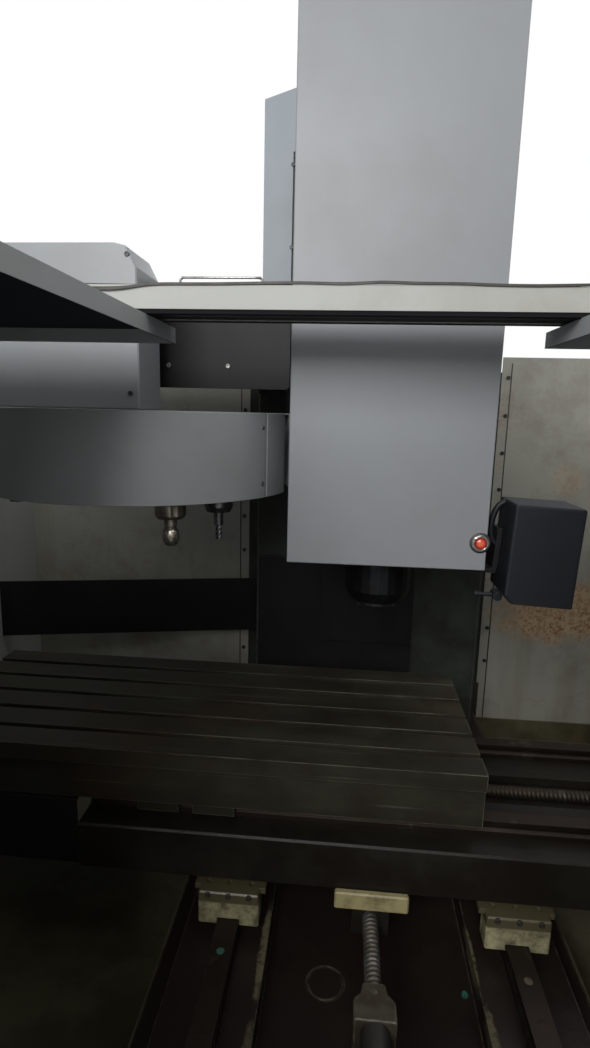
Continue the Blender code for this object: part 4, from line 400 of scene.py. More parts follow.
tray_paint = coat_of_paint(
    "tray_paint", (0.155, 0.142, 0.085), (0.30, 0.27, 0.20), (0.060, 0.050, 0.026),
    wear=(0.002, 0.6), stain=(4.0, 0.50, 0.9, 0.45), run=(12.0, 0.4), gloss=(0.5, 0.3),
    relief=0.3, rust=(5.0, 0.20),
)
dress(tray_paint, "chip_tray")


# Column: an iron casting in the bed's green-grey, with the two vertical rails and the head's screw.
# The screw is ground with a round thread, one turn for each 10 mm, like the two below the table.

column_paint = coat_of_paint(
    "column_paint", (0.046, 0.053, 0.045), (0.26, 0.26, 0.23), (0.020, 0.020, 0.015),
    wear=(0.004, 0.8), stain=(6.0, 0.44, 0.8, 0.4), run=(14.0, 0.5), gloss=(0.55, 0.42),
    peel=70.0, relief=0.6, shine=0.2,
)
dress(column_paint, "column_casting")
dress(rail_steel, "z_rail_left", "z_rail_right")
THREAD_LEAD = 0.010
THREAD_DEPTH = 0.0016
JOURNAL = 0.010


def threaded_bar(node, axis, low_journal, high_journal):
    """A ball screw along an axis: the radius dips by the thread's depth where the turn meets the lead.

    The dip is depth times the square of cos((2 pi z / lead - turn) / 2), a round groove that
    climbs one lead for each turn. The journals at both ends are plain.
    """
    low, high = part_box(node)
    which = "xyz".index(axis)
    radius = (high[(which + 1) % 3] - low[(which + 1) % 3]) / 2
    middle = middle_of(node)
    start = low[which] + low_journal
    end = high[which] - high_journal
    heights = np.arange(start, end, THREAD_LEAD / 8)
    turn = full_turn(24)
    phase = 2 * np.pi * heights[:, None] / THREAD_LEAD - turn[None, :]
    groove = np.cos(phase / 2) ** 2
    fade = np.clip(np.minimum(heights - start, end - heights) / THREAD_LEAD, 0, 1)[:, None]
    across = radius - THREAD_DEPTH * groove ** 1.5 * fade
    flat = np.ones_like(turn)
    rings = [
        (0.0 * flat, high[which]), (JOURNAL * flat, high[which]), (JOURNAL * flat, end),
        *[(row, z) for row, z in zip(across[::-1], heights[::-1])],
        (JOURNAL * flat, start), (JOURNAL * flat, low[which]), (0.0 * flat, low[which]),
    ]
    spread_out = np.array([ring[0] for ring in rings])
    along = np.repeat(np.array([ring[1] for ring in rings])[:, None], len(turn), axis=1)
    sides = [spread_out * np.cos(turn), spread_out * np.sin(turn)]
    grid = np.zeros(spread_out.shape + (3,))
    grid[..., which] = along
    grid[..., (which + 1) % 3] = sides[0] + middle[(which + 1) % 3]
    grid[..., (which + 2) % 3] = sides[1] + middle[(which + 2) % 3]
    return grid_faces(grid, around=True)


NO_SCRATCH = (1.0, 1.0, 1.0)
screw_steel = ground_steel(
    "screw_steel", (0.40, 0.39, 0.36), (0.09, 0.075, 0.055), NO_SCRATCH, gloss=(0.34, 0.55), cover=0.46,
)
oily_screw = ground_steel(
    "oily_screw", (0.13, 0.12, 0.10), (0.030, 0.022, 0.015), NO_SCRATCH, gloss=(0.40, 0.60), cover=0.66,
)
for node, axis, body, journals, finish in (
    ("z_screw", "z", "head_screw", (0.030, 0.029), screw_steel),
    ("y_screw", "y", "saddle_screw", (0.069, 0.039), screw_steel),
    ("x_screw", "x", "cross_screw", (0.039, 0.039), oily_screw),
):
    bar = piece(node + "_threaded", [threaded_bar(node, axis, *journals)], finish, body, 30.0)
    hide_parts(node)


# Way covers: black sheet over the column's foot and beside the table, a guard behind it, and the
# apron that hangs from the head. All are folded from painted sheet, with a thin sheen of oil.

black_sheet = coat_of_paint(
    "black_sheet", (0.0095, 0.0095, 0.0105), (0.09, 0.09, 0.09), (0.020, 0.019, 0.017),
    wear=(0.002, 0.5), stain=(3.5, 0.40, 0.50, 0.3), run=(16.0, 0.5), gloss=(0.45, 0.6),
    relief=0.15, shine=0.2,
)
dress(black_sheet, "z_way_cover", "z_apron", "rear_guard", "x_cover_left", "x_cover_right")


# Column cover: a blue-grey sheet hood over the column's top, screwed on at the front flange.
# The paint is clean up there, only a little chalky.

hood_paint = coat_of_paint(
    "hood_paint", (0.30, 0.335, 0.37), (0.42, 0.43, 0.44), (0.20, 0.21, 0.21),
    wear=(0.0015, 0.35), stain=(2.5, 0.34, 0.30, 0.15), run=(10.0, 0.15), gloss=(0.42, 0.5), relief=0.18,
)
dress(hood_paint, "column_cover")
fixing_steel = ground_steel("fixing_steel", (0.40, 0.40, 0.39), (0.10, 0.09, 0.075), NO_SCRATCH, cover=0.4)
black_fixing = coat_of_paint(
    "black_fixing", (0.020, 0.020, 0.021), (0.20, 0.20, 0.19), (0.045, 0.040, 0.032),
    wear=(0.001, 0.6), stain=(30.0, 0.4, 0.5, 0.2), run=(30.0, 0.1), gloss=(0.35, 0.5),
)


HEAD_RISE = 0.55


def cap_screws(name, places, axis, radius, material, body):
    """Socket-head screws: a low domed disc with a hexagonal well, turned from one profile.

    The well is made by pulling the inner ring's six-sided radius in, so it reads as a hexagon.
    """
    rise = radius * HEAD_RISE
    facing = -1.0 if axis in ("-x", "+y") else 1.0
    turn = full_turn(24)
    hexagon = np.cos(np.pi / 6) / np.cos((turn % (np.pi / 3)) - np.pi / 6)
    profile = (
        (1.0, -0.4, False), (1.0, 0.75, False), (0.88, 1.0, False),
        (0.52, 1.0, True), (0.50, 0.35, True), (0.0, 0.30, True),
    )
    surfaces = []
    for place in places:
        rings = []
        for share, height, six in profile:
            ring = radius * share * (hexagon if six else np.ones_like(turn))
            u, v, w = ring * np.cos(turn), ring * np.sin(turn), np.full_like(turn, facing * rise * height)
            rings.append({"y": (u, -w, v), "x": (w, u, v), "z": (u, v, w)}[axis[-1]])
        grid = np.stack([np.stack(ring, -1) for ring in rings]) + np.asarray(place, float)
        surfaces.append(grid_faces(grid, around=True))
    return piece(name, surfaces, material, body, 30.0)


HOOD_SCREW_X = 0.275
HOOD_SCREW_PITCH = 0.230
hood_low, hood_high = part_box("column_cover")
hood_heights = np.arange(hood_low.z + 0.050, hood_high.z - 0.100, HOOD_SCREW_PITCH)
hood_screws = [(side * HOOD_SCREW_X, hood_low.y, z) for side in (-1, 1) for z in hood_heights]
cap_screws("hood_screws", hood_screws, "y", 0.006, black_fixing, "frame")


# Drive motors: black servo motors with a square flange, a round-cornered case and an end cap
# that holds the encoder. Each is bolted to its bearing bracket and stands in its CAD block's place.

def corner_turns(points):
    """The turns round a rounded rectangle's four corners, and which side each corner is on."""
    quarter = np.linspace(0, np.pi / 2, points)
    turn = np.concatenate([quarter + k * np.pi / 2 for k in range(4)])
    return turn, np.repeat([1, -1, -1, 1], points), np.repeat([1, 1, -1, -1], points)


def rounded_block(low, high, corner, edge, lie="z", arc_steps=5):
    """A block with round corners along one axis and soft edges at both ends.

    The outline is a rounded rectangle, each corner an arc of cos and sin about its centre. Near an
    end it is drawn in by edge times (1 - sin) while it rises by edge times (1 - cos).
    """
    low = np.asarray(low, float)
    high = np.asarray(high, float)
    which = "xyz".index(lie)
    first, second = (which + 1) % 3, (which + 2) % 3
    centre = (low + high) / 2
    half = (high - low) / 2
    bend = np.linspace(0, np.pi / 2, 4)
    inset = edge * (1 - np.sin(bend))
    rise = edge * (1 - np.cos(bend))
    insets = np.concatenate([inset, inset[::-1]])
    levels = np.concatenate([low[which] + rise, high[which] - rise[::-1]])
    turn, side_first, side_second = corner_turns(arc_steps + 1)
    reach_first = (half[first] - corner) * side_first
    reach_second = (half[second] - corner) * side_second
    radius = np.maximum(corner - insets, 0.0001)[:, None]
    grid = np.zeros((len(levels) + 2, len(turn), 3))
    grid[1:-1, :, first] = centre[first] + reach_first + radius * np.cos(turn)
    grid[1:-1, :, second] = centre[second] + reach_second + radius * np.sin(turn)
    grid[1:-1, :, which] = levels[:, None]
    for row, level in ((0, low[which]), (-1, high[which])):
        grid[row] = centre
        grid[row, :, which] = level
    return grid_faces(grid, around=True)


motor_paint = coat_of_paint(
    "motor_paint", (0.018, 0.018, 0.019), (0.16, 0.16, 0.16), (0.040, 0.034, 0.025),
    wear=(0.002, 0.6), stain=(12.0, 0.45, 0.6, 0.4), run=(20.0, 0.3), gloss=(0.42, 0.55), relief=0.2,
)
dress(motor_paint, "spindle_motor")


MOTOR_STAGES = (
    (0.0, 0.08, 0.0, 0.06), (0.08, 0.70, 0.05, 0.16), (0.72, 1.0, 0.07, 0.12), (0.69, 0.73, 0.10, 0.12),
)
SHAFT_RADIUS = 0.025


def servo_motor(node, axis, flange_at_high, body, nose=None):
    """A motor of four blocks along its axis: flange, case, end cap and the neck between these two.

    Each stage is (start, end) as shares of the length and (shrink, corner) as shares of the width.
    A nose is the round shaft that stands out of the flange.
    """
    low, high = (np.array(corner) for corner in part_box(node))
    which = "xyz".index(axis)
    if nose:
        high[which] -= nose
    length = high[which] - low[which]
    width = min(high[(which + side) % 3] - low[(which + side) % 3] for side in (1, 2))

    def stage_of(start, end, shrink, corner):
        """A block of the motor between two shares of its length, drawn in from the full width."""
        near, far = low.copy(), high.copy()
        if flange_at_high:
            near[which], far[which] = high[which] - end * length, high[which] - start * length
        else:
            near[which], far[which] = low[which] + start * length, low[which] + end * length
        for side in (1, 2):
            near[(which + side) % 3] += shrink
            far[(which + side) % 3] -= shrink
        return rounded_block(near, far, corner, 0.0015, axis)

    surfaces = []
    for start, end, shrink, corner in MOTOR_STAGES:
        surfaces.append(stage_of(start, end, width * shrink, width * corner))
    if nose:
        centre = (low + high) / 2
        centre[which] = 0.0
        end = high[which] + nose
        root = high[which] - 0.002
        flip = -1 if axis == "y" else 1
        profile = [(0, end * flip), (SHAFT_RADIUS, end * flip), (SHAFT_RADIUS, root * flip), (0, root * flip)]
        surfaces.append(lathe(profile, centre, axis, 28))
    made = piece(node + "_servo", surfaces, motor_paint, body, 35.0)
    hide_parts(node)
    return made


servo_motor("y_motor", "y", True, "frame", nose=0.073)
servo_motor("z_motor", "z", False, "frame")
servo_motor("x_motor", "x", True, "saddle")


# Screw bracket: a small iron casting that holds the saddle screw's front bearing. Its machined
# edges are bright and its hollows are full of brown oil.

bracket_iron = coat_of_paint(
    "bracket_iron", (0.075, 0.070, 0.050), (0.30, 0.29, 0.22), (0.045, 0.035, 0.022),
    wear=(0.004, 1.0), stain=(26.0, 0.50, 0.9, 0.15), run=(30.0, 0.4), gloss=(0.45, 0.3),
    peel=120.0, relief=0.7,
)
dress(bracket_iron, "y_screw_bracket")


# Saddle: the cross slide, an iron casting that is black with coolant and chip dust. Its guide
# wipers and the nut's bumper are cream plastic, stained brown at the rims.

saddle_iron = coat_of_paint(
    "saddle_iron", (0.021, 0.019, 0.014), (0.062, 0.058, 0.048), (0.010, 0.008, 0.006),
    wear=(0.003, 0.25), stain=(7.0, 0.50, 0.9, 0.55), run=(22.0, 0.6), gloss=(0.50, 0.36),
    peel=110.0, relief=0.5, shine=0.22,
)
dress(saddle_iron, "saddle_casting")
dress(rail_steel, "x_rail_front", "x_rail_rear")


NOWHERE = 9.0


def stained_plastic(name, clean, stain_colour, cover, brown_above=NOWHERE):
    """Moulded plastic, clean in patches, with brown stains that gather at its rims and above a height."""
    material, tree, shader = blank(name)
    soil = use(tree, "settled_dirt", Scale=30.0, Cover=cover, Amount=0.85, Film=0.10)
    rim = use(tree, "edge_wear", Radius=0.004, Amount=0.9, Breakup=25.0)
    blotch = calc(tree, "MAXIMUM", soil, rim)
    height = along(tree, "z")
    above = spread(tree, height, brown_above, brown_above + 0.006)
    blotch = calc(tree, "MAXIMUM", blotch, calc(tree, "MULTIPLY", above, 0.92))
    tone = tint(tree, cloud(tree, 60.0, 3.0), times(clean, 0.8), clean)
    colour = tint(tree, blotch, tone, stain_colour)
    surface(tree, shader, colour, ramp(tree, blotch, 0.55, 0.35))
    grain(tree, shader, cloud(tree, 220.0, 3.0), 0.3)
    return material


wiper_brown_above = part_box("wiper_left")[1].z - 0.027
wiper_cream = stained_plastic(
    "wiper_cream", (0.42, 0.39, 0.23), (0.052, 0.042, 0.021), 0.44, wiper_brown_above,
)
bumper_cream = stained_plastic("bumper_cream", (0.38, 0.33, 0.165), (0.11, 0.08, 0.04), 0.36)
dress(wiper_cream, "wiper_left", "wiper_right")
dress(bumper_cream, "nut_bumper")
wiper_rubber = coat_of_paint(
    "wiper_rubber", (0.020, 0.019, 0.017), (0.05, 0.05, 0.045), (0.035, 0.028, 0.018),
    wear=(0.001, 0.3), stain=(30.0, 0.5, 0.6, 0.3), run=(40.0, 0.3), gloss=(0.6, 0.4),
)
WIPER_SCREW_PITCH = 0.043
WIPER_SCREW_DROP = 0.0062
wiper_screws = []
for node in ("wiper_left", "wiper_right"):
    low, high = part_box(node)
    for step in (-1, 0, 1):
        x = middle_of(node)[0] + step * WIPER_SCREW_PITCH
        wiper_screws.append((x, low.y, high.z - WIPER_SCREW_DROP))
cap_screws("wiper_screws", wiper_screws, "y", 0.0060, wiper_rubber, "saddle")


# Table: a fine-grained iron casting, its top ground and cut with five T-slots. Coolant has darkened
# it to a brown grey. Wipe marks run along it, and the slots' edges are polished bright by use.

def worn_table_iron():
    """Ground iron gone dark: lengthwise wipe marks, brown stains, pale scratches and bright edges."""
    material, tree, shader = blank("table_iron", Metallic=0.10, Specular_IOR_Level=0.22)
    wiped = spread(tree, cloud(tree, 7.0, 6.0, (0.16, 1.0, 1.0), 0.7), 0.38, 0.66)
    colour = tint(tree, wiped, (0.022, 0.021, 0.014), (0.046, 0.045, 0.031))
    stains = use(tree, "settled_dirt", Scale=6.0, Cover=0.44, Amount=0.75, Film=0.0)
    colour = tint(tree, stains, colour, (0.021, 0.016, 0.011))
    rust = use(tree, "rust_spots", "Bloom", Scale=3.2, Cover=0.30)
    faint_rust = calc(tree, "MULTIPLY", rust, 0.5)
    colour = tint(tree, faint_rust, colour, (0.060, 0.033, 0.018))
    scratches = spread(tree, cloud(tree, 90.0, 2.0, (0.03, 1.0, 1.0)), 0.66, 0.72)
    colour = tint(tree, calc(tree, "MULTIPLY", scratches, 0.30), colour, (0.13, 0.125, 0.10))
    bright = use(tree, "edge_wear", Radius=0.0030, Amount=0.95, Breakup=9.0)
    colour = tint(tree, bright, colour, (0.20, 0.20, 0.15))
    band = patch_of(tree, (-0.155, -0.290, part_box("table")[0].z + 0.008), (0.200, 0.060, 0.012), 30.0)
    nicks = spread(tree, cloud(tree, 75.0, 3.0, (0.5, 1.0, 1.0)), 0.62, 0.66)
    colour = tint(tree, calc(tree, "MULTIPLY", band, nicks), colour, (0.27, 0.26, 0.20))
    surface(tree, shader, colour, ramp(tree, stains, 0.56, 0.40))
    grain(tree, shader, cloud(tree, 160.0, 3.0, (0.05, 1.0, 1.0)), 0.18, 0.0012)
    return material


dress(worn_table_iron(), "table")


# Head: a painted iron casting on the vertical rails, under a light grey sheet cover that is open
# at the bottom and the back. The cover is wiped clean, with faint hand marks lower down.

cover_paint = coat_of_paint(
    "cover_paint", (0.262, 0.275, 0.290), (0.36, 0.37, 0.37), (0.175, 0.172, 0.160),
    wear=(0.0014, 0.45), stain=(1.8, 0.36, 0.40, 0.10), run=(5.0, 0.16), gloss=(0.40, 0.52),
    peel=420.0, relief=0.14,
)
dress(column_paint, "head_casting")
dress(cover_paint, "head_cover")
TURNED = (1.0, 1.0, 0.05)
housing_steel = ground_steel(
    "housing_steel", (0.045, 0.047, 0.052), (0.012, 0.012, 0.013), TURNED, gloss=(0.36, 0.55),
)
spindle_steel = ground_steel(
    "spindle_steel", (0.20, 0.20, 0.20), (0.04, 0.037, 0.034), TURNED, gloss=(0.3, 0.5), cover=0.45,
)
dress(housing_steel, "spindle_housing")
dress(spindle_steel, "spindle")


# Tool release button: a red lens in a chrome ring with a black seat, let into the cover's front.
# The lens is moulded with a low dome, so it catches one soft highlight.

chrome = ground_steel(
    "chrome", (0.86, 0.86, 0.85), (0.45, 0.44, 0.42), NO_SCRATCH, gloss=(0.08, 0.2), cover=0.25,
)
low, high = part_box("release_button")
lens_x, _, lens_z = middle_of("release_button")
lens_front, lens_back = low.y, high.y
lens_radius = (high.x - low.x) / 2


def red_lens():
    """Red plastic, light in the middle and deeper towards the rim; the light middle is a painted highlight.
    """
    material, tree, shader = blank("red_lens", Coat_Weight=0.6, Coat_Roughness=0.08)
    place = add(tree, "TexCoord").outputs["Object"]
    centre = (lens_x, lens_front, lens_z)
    moved = add(tree, "VectorMath", {0: place, 1: centre}, operation="SUBTRACT").outputs[0]
    reach = add(tree, "VectorMath", {0: moved}, operation="LENGTH").outputs["Value"]
    rim = spread(tree, reach, 0.003, 0.011)
    # Painted highlight: lighter red in the middle of the lens, darker towards its rim.
    colour = tint(tree, rim, (0.80, 0.13, 0.06), (0.42, 0.025, 0.014))
    soil = use(tree, "settled_dirt", Scale=120.0, Cover=0.4, Amount=0.5, Film=0.0)
    surface(tree, shader, colour, ramp(tree, soil, 0.22, 0.45))
    return material


LENS_DOME = 0.0045
dome = np.linspace(0, np.pi / 2, 8)
lens_profile = [(lens_radius * math.sin(a), -lens_front - LENS_DOME * (1 - math.cos(a))) for a in dome]
lens_profile += [(lens_radius, -lens_back), (0.0, -lens_back)]
lens = lathe(lens_profile, (lens_x, 0, lens_z), "y", 40)
button_lens = piece("button_lens", [lens], red_lens(), "release_plunger", 50.0)
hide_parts("release_button")
low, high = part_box("button_bezel")
outer = (high.x - low.x) / 2
inner = lens_radius + 0.0006
ring_front, ring_back = -low.y, -high.y
ring_profile = [
    (inner, ring_back), (inner, ring_front - 0.002), (inner + 0.0012, ring_front),
    (outer - 0.0025, ring_front), (outer - 0.0006, ring_front - 0.0012), (outer, ring_front - 0.003),
    (outer, ring_back), (inner, ring_back),
]
ring = piece("button_ring", [lathe(ring_profile, (lens_x, 0, lens_z), "y", 48)], chrome, "head", 30.0)
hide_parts("button_bezel")
seat_front = -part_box("head_cover")[0].y
seat_steps = ((0.0, -0.0006), (0.0035, -0.0006), (0.0035, 0.0014), (0.0, 0.0026), (0.0, -0.0006))
seat_profile = [(outer + reach, seat_front + rise) for reach, rise in seat_steps]
piece("button_seat", [lathe(seat_profile, (lens_x, 0, lens_z), "y", 48)], wiper_rubber, "head", 30.0)


# Coolant nozzle box: a black moulding with a fine eggshell texture on a bent black bracket, with
# dust on its top and a short formed hose into its left side. Its front is left plain.

def textured_black():
    """Black moulding with a fine eggshell texture, a blue cast and pale dust on what looks up."""
    material, tree, shader = blank("textured_black", Specular_IOR_Level=0.32)
    tone = tint(tree, cloud(tree, 9.0, 4.0), (0.0050, 0.0055, 0.0075), (0.0085, 0.0095, 0.0135))
    dust = use(tree, "settled_dirt", Scale=24.0, Cover=0.30, Amount=0.12, Film=0.75)
    colour = tint(tree, dust, tone, (0.032, 0.033, 0.040))
    rub = use(tree, "edge_wear", Radius=0.003, Amount=0.35, Breakup=90.0)
    colour = tint(tree, rub, colour, (0.045, 0.048, 0.058))
    surface(tree, shader, colour, ramp(tree, dust, 0.50, 0.80))
    grain(tree, shader, cloud(tree, 900.0, 2.0), 0.35, 0.003)
    return material


box_black = textured_black()
dress(box_black, "coolant_box")
dress(black_sheet, "coolant_bracket")
dress(box_black, "coolant_nozzle")


def carried_round(route, radius, sides=16):
    """A round bar along a route: each ring stands square to the run between its neighbours.

    The route's points are joined by a smooth curve, a weighted mean of four neighbours at each step.
    """
    knots = np.asarray(route, float)
    padded = np.vstack([2 * knots[0] - knots[1], knots, 2 * knots[-1] - knots[-2]])
    steps = np.linspace(0, 1, 9)[:-1]
    runs = []
    for i in range(len(knots) - 1):
        a, b, c, d = padded[i:i + 4]
        t = steps[:, None]
        bend = (2 * b) + (c - a) * t + (2 * a - 5 * b + 4 * c - d) * t ** 2 + (3 * b - a - 3 * c + d) * t ** 3
        runs.append(bend / 2)
    line = np.vstack(runs + [knots[-1:]])
    ahead = np.gradient(line, axis=0)
    ahead /= np.linalg.norm(ahead, axis=1)[:, None]
    side = np.cross(ahead, (0.31, 0.22, 0.92))
    side /= np.linalg.norm(side, axis=1)[:, None]
    up = np.cross(ahead, side)
    turn = full_turn(sides)
    ring = np.cos(turn)[None, :, None] * side[:, None] + np.sin(turn)[None, :, None] * up[:, None]
    grid = line[:, None] + radius * ring
    ends = [np.repeat(line[:1, None], sides, 1), np.repeat(line[-1:, None], sides, 1)]
    return grid_faces(np.vstack([ends[0], grid, ends[1]]), around=True)


box_low, box_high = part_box("coolant_box")
hose_y = box_low.y + 0.085
hose_route = [
    (box_low.x + 0.036, hose_y, box_high.z - 0.016),
    (box_low.x + 0.014, hose_y, box_high.z - 0.006),
    (box_low.x - 0.004, hose_y, box_high.z - 0.016),
    (box_low.x - 0.014, hose_y, box_high.z - 0.044),
    (box_low.x - 0.013, hose_y, box_high.z - 0.078),
    (box_low.x + 0.001, hose_y, box_high.z - 0.098),
    (box_low.x + 0.018, hose_y, box_high.z - 0.102),
]
piece("nozzle_hose", [carried_round(hose_route, 0.0060)], box_black, "head", 60.0)


# Tool changer: a black bracket plate on the column, a light grey drive box that slides on it, and
# the drum's rolled sheet cover. The tools stand in the disc, of which only the slot shows a part.

dress(black_sheet, "tc_bracket")
drive_paint = coat_of_paint(
    "drive_paint", (0.355, 0.372, 0.386), (0.46, 0.47, 0.47), (0.23, 0.225, 0.21),
    wear=(0.0016, 0.45), stain=(2.2, 0.34, 0.35, 0.15), run=(7.0, 0.15), gloss=(0.38, 0.5),
    peel=380.0, relief=0.15,
)
dress(drive_paint, "tc_box")
low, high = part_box("tc_box")
heights = (high.z - 0.024, low.z + 0.036)
front_screws = [(x, low.y, z) for x in (high.x - 0.020, low.x + 0.020) for z in heights]
cap_screws("drive_box_screws", front_screws, "y", 0.0055, black_fixing, "changer")
low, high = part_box("tc_bracket")
plate_screws = [(x, low.y + 0.020, low.z + 0.057) for x in (-0.557, -0.400)]
cap_screws("bracket_screws", plate_screws, "y", 0.006, fixing_steel, "frame")

drum_paint = coat_of_paint(
    "drum_paint", (0.300, 0.315, 0.325), (0.46, 0.47, 0.47), (0.22, 0.215, 0.20),
    wear=(0.0012, 0.10), stain=(2.4, 0.38, 0.42, 0.12), run=(5.0, 0.22), gloss=(0.40, 0.52),
    peel=380.0, relief=0.16,
)
SLOT_HALF = 0.058
POCKET_RADIUS = 0.280
SHEET = 0.003
BOSS_RADIUS = 0.050
SHAFT_BORE = 0.0255
BOSS_DROP = 0.060
SEAM_TURN = math.radians(25.0)
SEAM_HALF = 0.0045
SEAM_DEPTH = 0.0026
drum_low, drum_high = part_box("tc_cover")
drum_radius = (drum_high.y - drum_low.y) / 2
drum_x = drum_low.x + drum_radius
drum_y = (drum_low.y + drum_high.y) / 2


def drum_shell():
    """The drum's sheet as one loop of lines, swept from one edge of the slot round to the other.

    Each line starts on the slot's round end, at half the turn of its point on the rim, and runs out
    over the top, round a small bend, down the wall, and back inside. At the seam the wall is drawn in.
    """
    start = math.asin(SLOT_HALF / drum_radius)
    seam = 2 * math.pi - SEAM_TURN
    turn = np.concatenate([
        np.linspace(start, seam - 0.010, 150), seam + np.array([-0.0070, -SEAM_HALF, 0.0, SEAM_HALF, 0.0070]),
        np.linspace(seam + 0.010, 2 * math.pi - start, 24),
    ])
    share = (turn - start) / (2 * math.pi - 2 * start)
    end_turn = np.pi / 2 + share * np.pi
    groove = SEAM_DEPTH * np.clip(1.6 - np.abs(turn - seam) / SEAM_HALF, 0, 1)
    inner_x = POCKET_RADIUS + SLOT_HALF * np.cos(end_turn)
    inner_y = SLOT_HALF * np.sin(end_turn)
    bend = np.linspace(0, np.pi / 2, 5)
    edge = 0.003
    steps = [(share, 0.0, drum_high.z) for share in (0.0, 0.25, 0.5, 0.75, 0.93)]
    steps += [(1.0, -edge + edge * math.sin(a), drum_high.z - edge + edge * math.cos(a)) for a in bend]
    steps += [(1.0, 0.0, drum_low.z + 0.0008), (1.0, -0.0008, drum_low.z), (1.0, -SHEET, drum_low.z)]
    ceiling = drum_high.z - SHEET
    steps += [(1.0, -SHEET, ceiling), (0.5, 0.0, ceiling), (0.0, 0.0, ceiling)]
    rows = []
    for out, reach, height in steps:
        radius = drum_radius + reach - (groove if out == 1.0 and reach > -SHEET / 2 else 0.0)
        x = (1 - out) * inner_x + out * radius * np.cos(turn)
        y = (1 - out) * inner_y + out * radius * np.sin(turn)
        rows.append(np.stack([drum_x + x, drum_y + y, np.full_like(turn, height)], -1))
    return grid_faces(np.stack(rows), along=True)


boss_high, boss_low = drum_high.z - SHEET, drum_high.z - BOSS_DROP
boss = [
    (SHAFT_BORE, boss_high), (BOSS_RADIUS, boss_high), (BOSS_RADIUS, boss_low), (SHAFT_BORE, boss_low),
    (SHAFT_BORE, boss_high),
]
drum_surfaces = [drum_shell(), lathe(boss, (drum_x, drum_y, 0), steps=36)]
drum = piece("drum_cover", drum_surfaces, drum_paint, "changer", 32.0)
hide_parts("tc_cover")
seam_screws = []
for z in (drum_low.z + 0.030, drum_high.z - 0.030):
    turn = -SEAM_TURN - 0.045
    seam_screws.append((drum_x + drum_radius * math.cos(turn), drum_y + drum_radius * math.sin(turn), z))
heads = []
for x, y, z in seam_screws:
    outwards = np.array([x - drum_x, y - drum_y, 0.0]) / drum_radius
    sideways = np.array([-outwards[1], outwards[0], 0.0])
    turn = full_turn(20)
    rings = []
    for radius, rise in ((0.005, -0.002), (0.005, 0.0010), (0.0035, 0.0022), (0.0, 0.0026)):
        ring = np.outer(np.cos(turn) * radius, sideways) + np.outer(np.sin(turn) * radius, (0, 0, 1.0))
        rings.append(ring + np.array([x, y, z]) + outwards * rise)
    heads.append(grid_faces(np.stack(rings), around=True))
piece("drum_seam_screws", heads, fixing_steel, "changer", 30.0)


# Disc and tools: a steel disc with sixteen forks that hold the tool holders by their grooves. Three
# tools are in place: a milling chuck with an end mill, a collet chuck and a square-shanked holder.

disc_steel = ground_steel(
    "disc_steel", (0.22, 0.21, 0.19), (0.05, 0.042, 0.032), NO_SCRATCH, gloss=(0.3, 0.5),
)
dress(disc_steel, "carousel_disc")
FINE_TURNED = (1.0, 1.0, 0.04)
holder_steel = ground_steel(
    "holder_steel", (0.15, 0.15, 0.155), (0.028, 0.026, 0.024), FINE_TURNED, gloss=(0.2, 0.45), cover=0.42,
)
bright_steel = ground_steel(
    "bright_steel", (0.42, 0.39, 0.33), (0.10, 0.080, 0.050), FINE_TURNED, gloss=(0.20, 0.45), cover=0.44,
)


def notched_lathe(profile, place, steps=72):
    """A turned body whose rings may be notched: each profile point is (radius, height, count, depth, twist).

    The radius at a turn is radius - depth times the eighth power of cos(count (turn - twist height) / 2),
    which makes count narrow grooves that wind round by twist radians a metre.
    """
    turn = full_turn(steps)
    rings = []
    for radius, height, count, depth, twist in profile:
        notch = np.cos(count * (turn - twist * height) / 2) ** 8 if count else np.zeros_like(turn)
        reach = np.maximum(radius - depth * notch, 0.0)
        rings.append(np.stack([reach * np.cos(turn), reach * np.sin(turn), np.full_like(turn, height)], -1))
    return grid_faces(np.stack(rings) + np.asarray(place, float), around=True)


def plain(*points):
    """Profile points without notches."""
    return [(radius, height, 0, 0.0, 0.0) for radius, height in points]


GROOVE_RADIUS = 0.027
FLANGE_RADIUS = 0.0318
DISC_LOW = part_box("tc_cover")[0].z + 0.037
DISC_HIGH = DISC_LOW + 0.010
SEAT_GAP = 0.0003
HOLDER_TOP = (
    (0.0, 0.075), (0.0085, 0.075), (0.0085, 0.070), (0.0055, 0.066), (0.0055, 0.062), (0.0105, 0.060),
    (0.022, 0.0065), (0.0305, 0.0052), (FLANGE_RADIUS, 0.0042), (FLANGE_RADIUS, 0.0008), (0.0312, 0.0),
    (GROOVE_RADIUS, 0.0),
)
HOLDER_COLLAR = (
    (GROOVE_RADIUS, 0.0), (0.0312, 0.0), (FLANGE_RADIUS, -0.0008), (FLANGE_RADIUS, -0.0042),
    (0.0310, -0.0050),
)


def tool(node, finish, body_profile):
    """A holder in its pocket, and the profile of this tool below it.

    Above the disc are a pull stud, the taper and the upper collar; in the fork is the groove, and
    under it the lower collar. Both collars have soft edges.
    """
    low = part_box(node)[0]
    x, y, _ = middle_of(node)
    upper, lower = DISC_HIGH + SEAT_GAP, DISC_LOW - SEAT_GAP
    profile = plain(*[(radius, upper + rise) for radius, rise in HOLDER_TOP])
    profile += plain(*[(radius, lower + rise) for radius, rise in HOLDER_COLLAR])
    for radius, drop, count, depth, twist in body_profile:
        profile.append((radius, max(lower - 0.005 - drop, low.z), count, depth, twist))
    made = piece(node + "_detailed", [notched_lathe(profile, (x, y, 0.0))], finish, "carousel", 32.0)
    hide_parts(node)
    return made


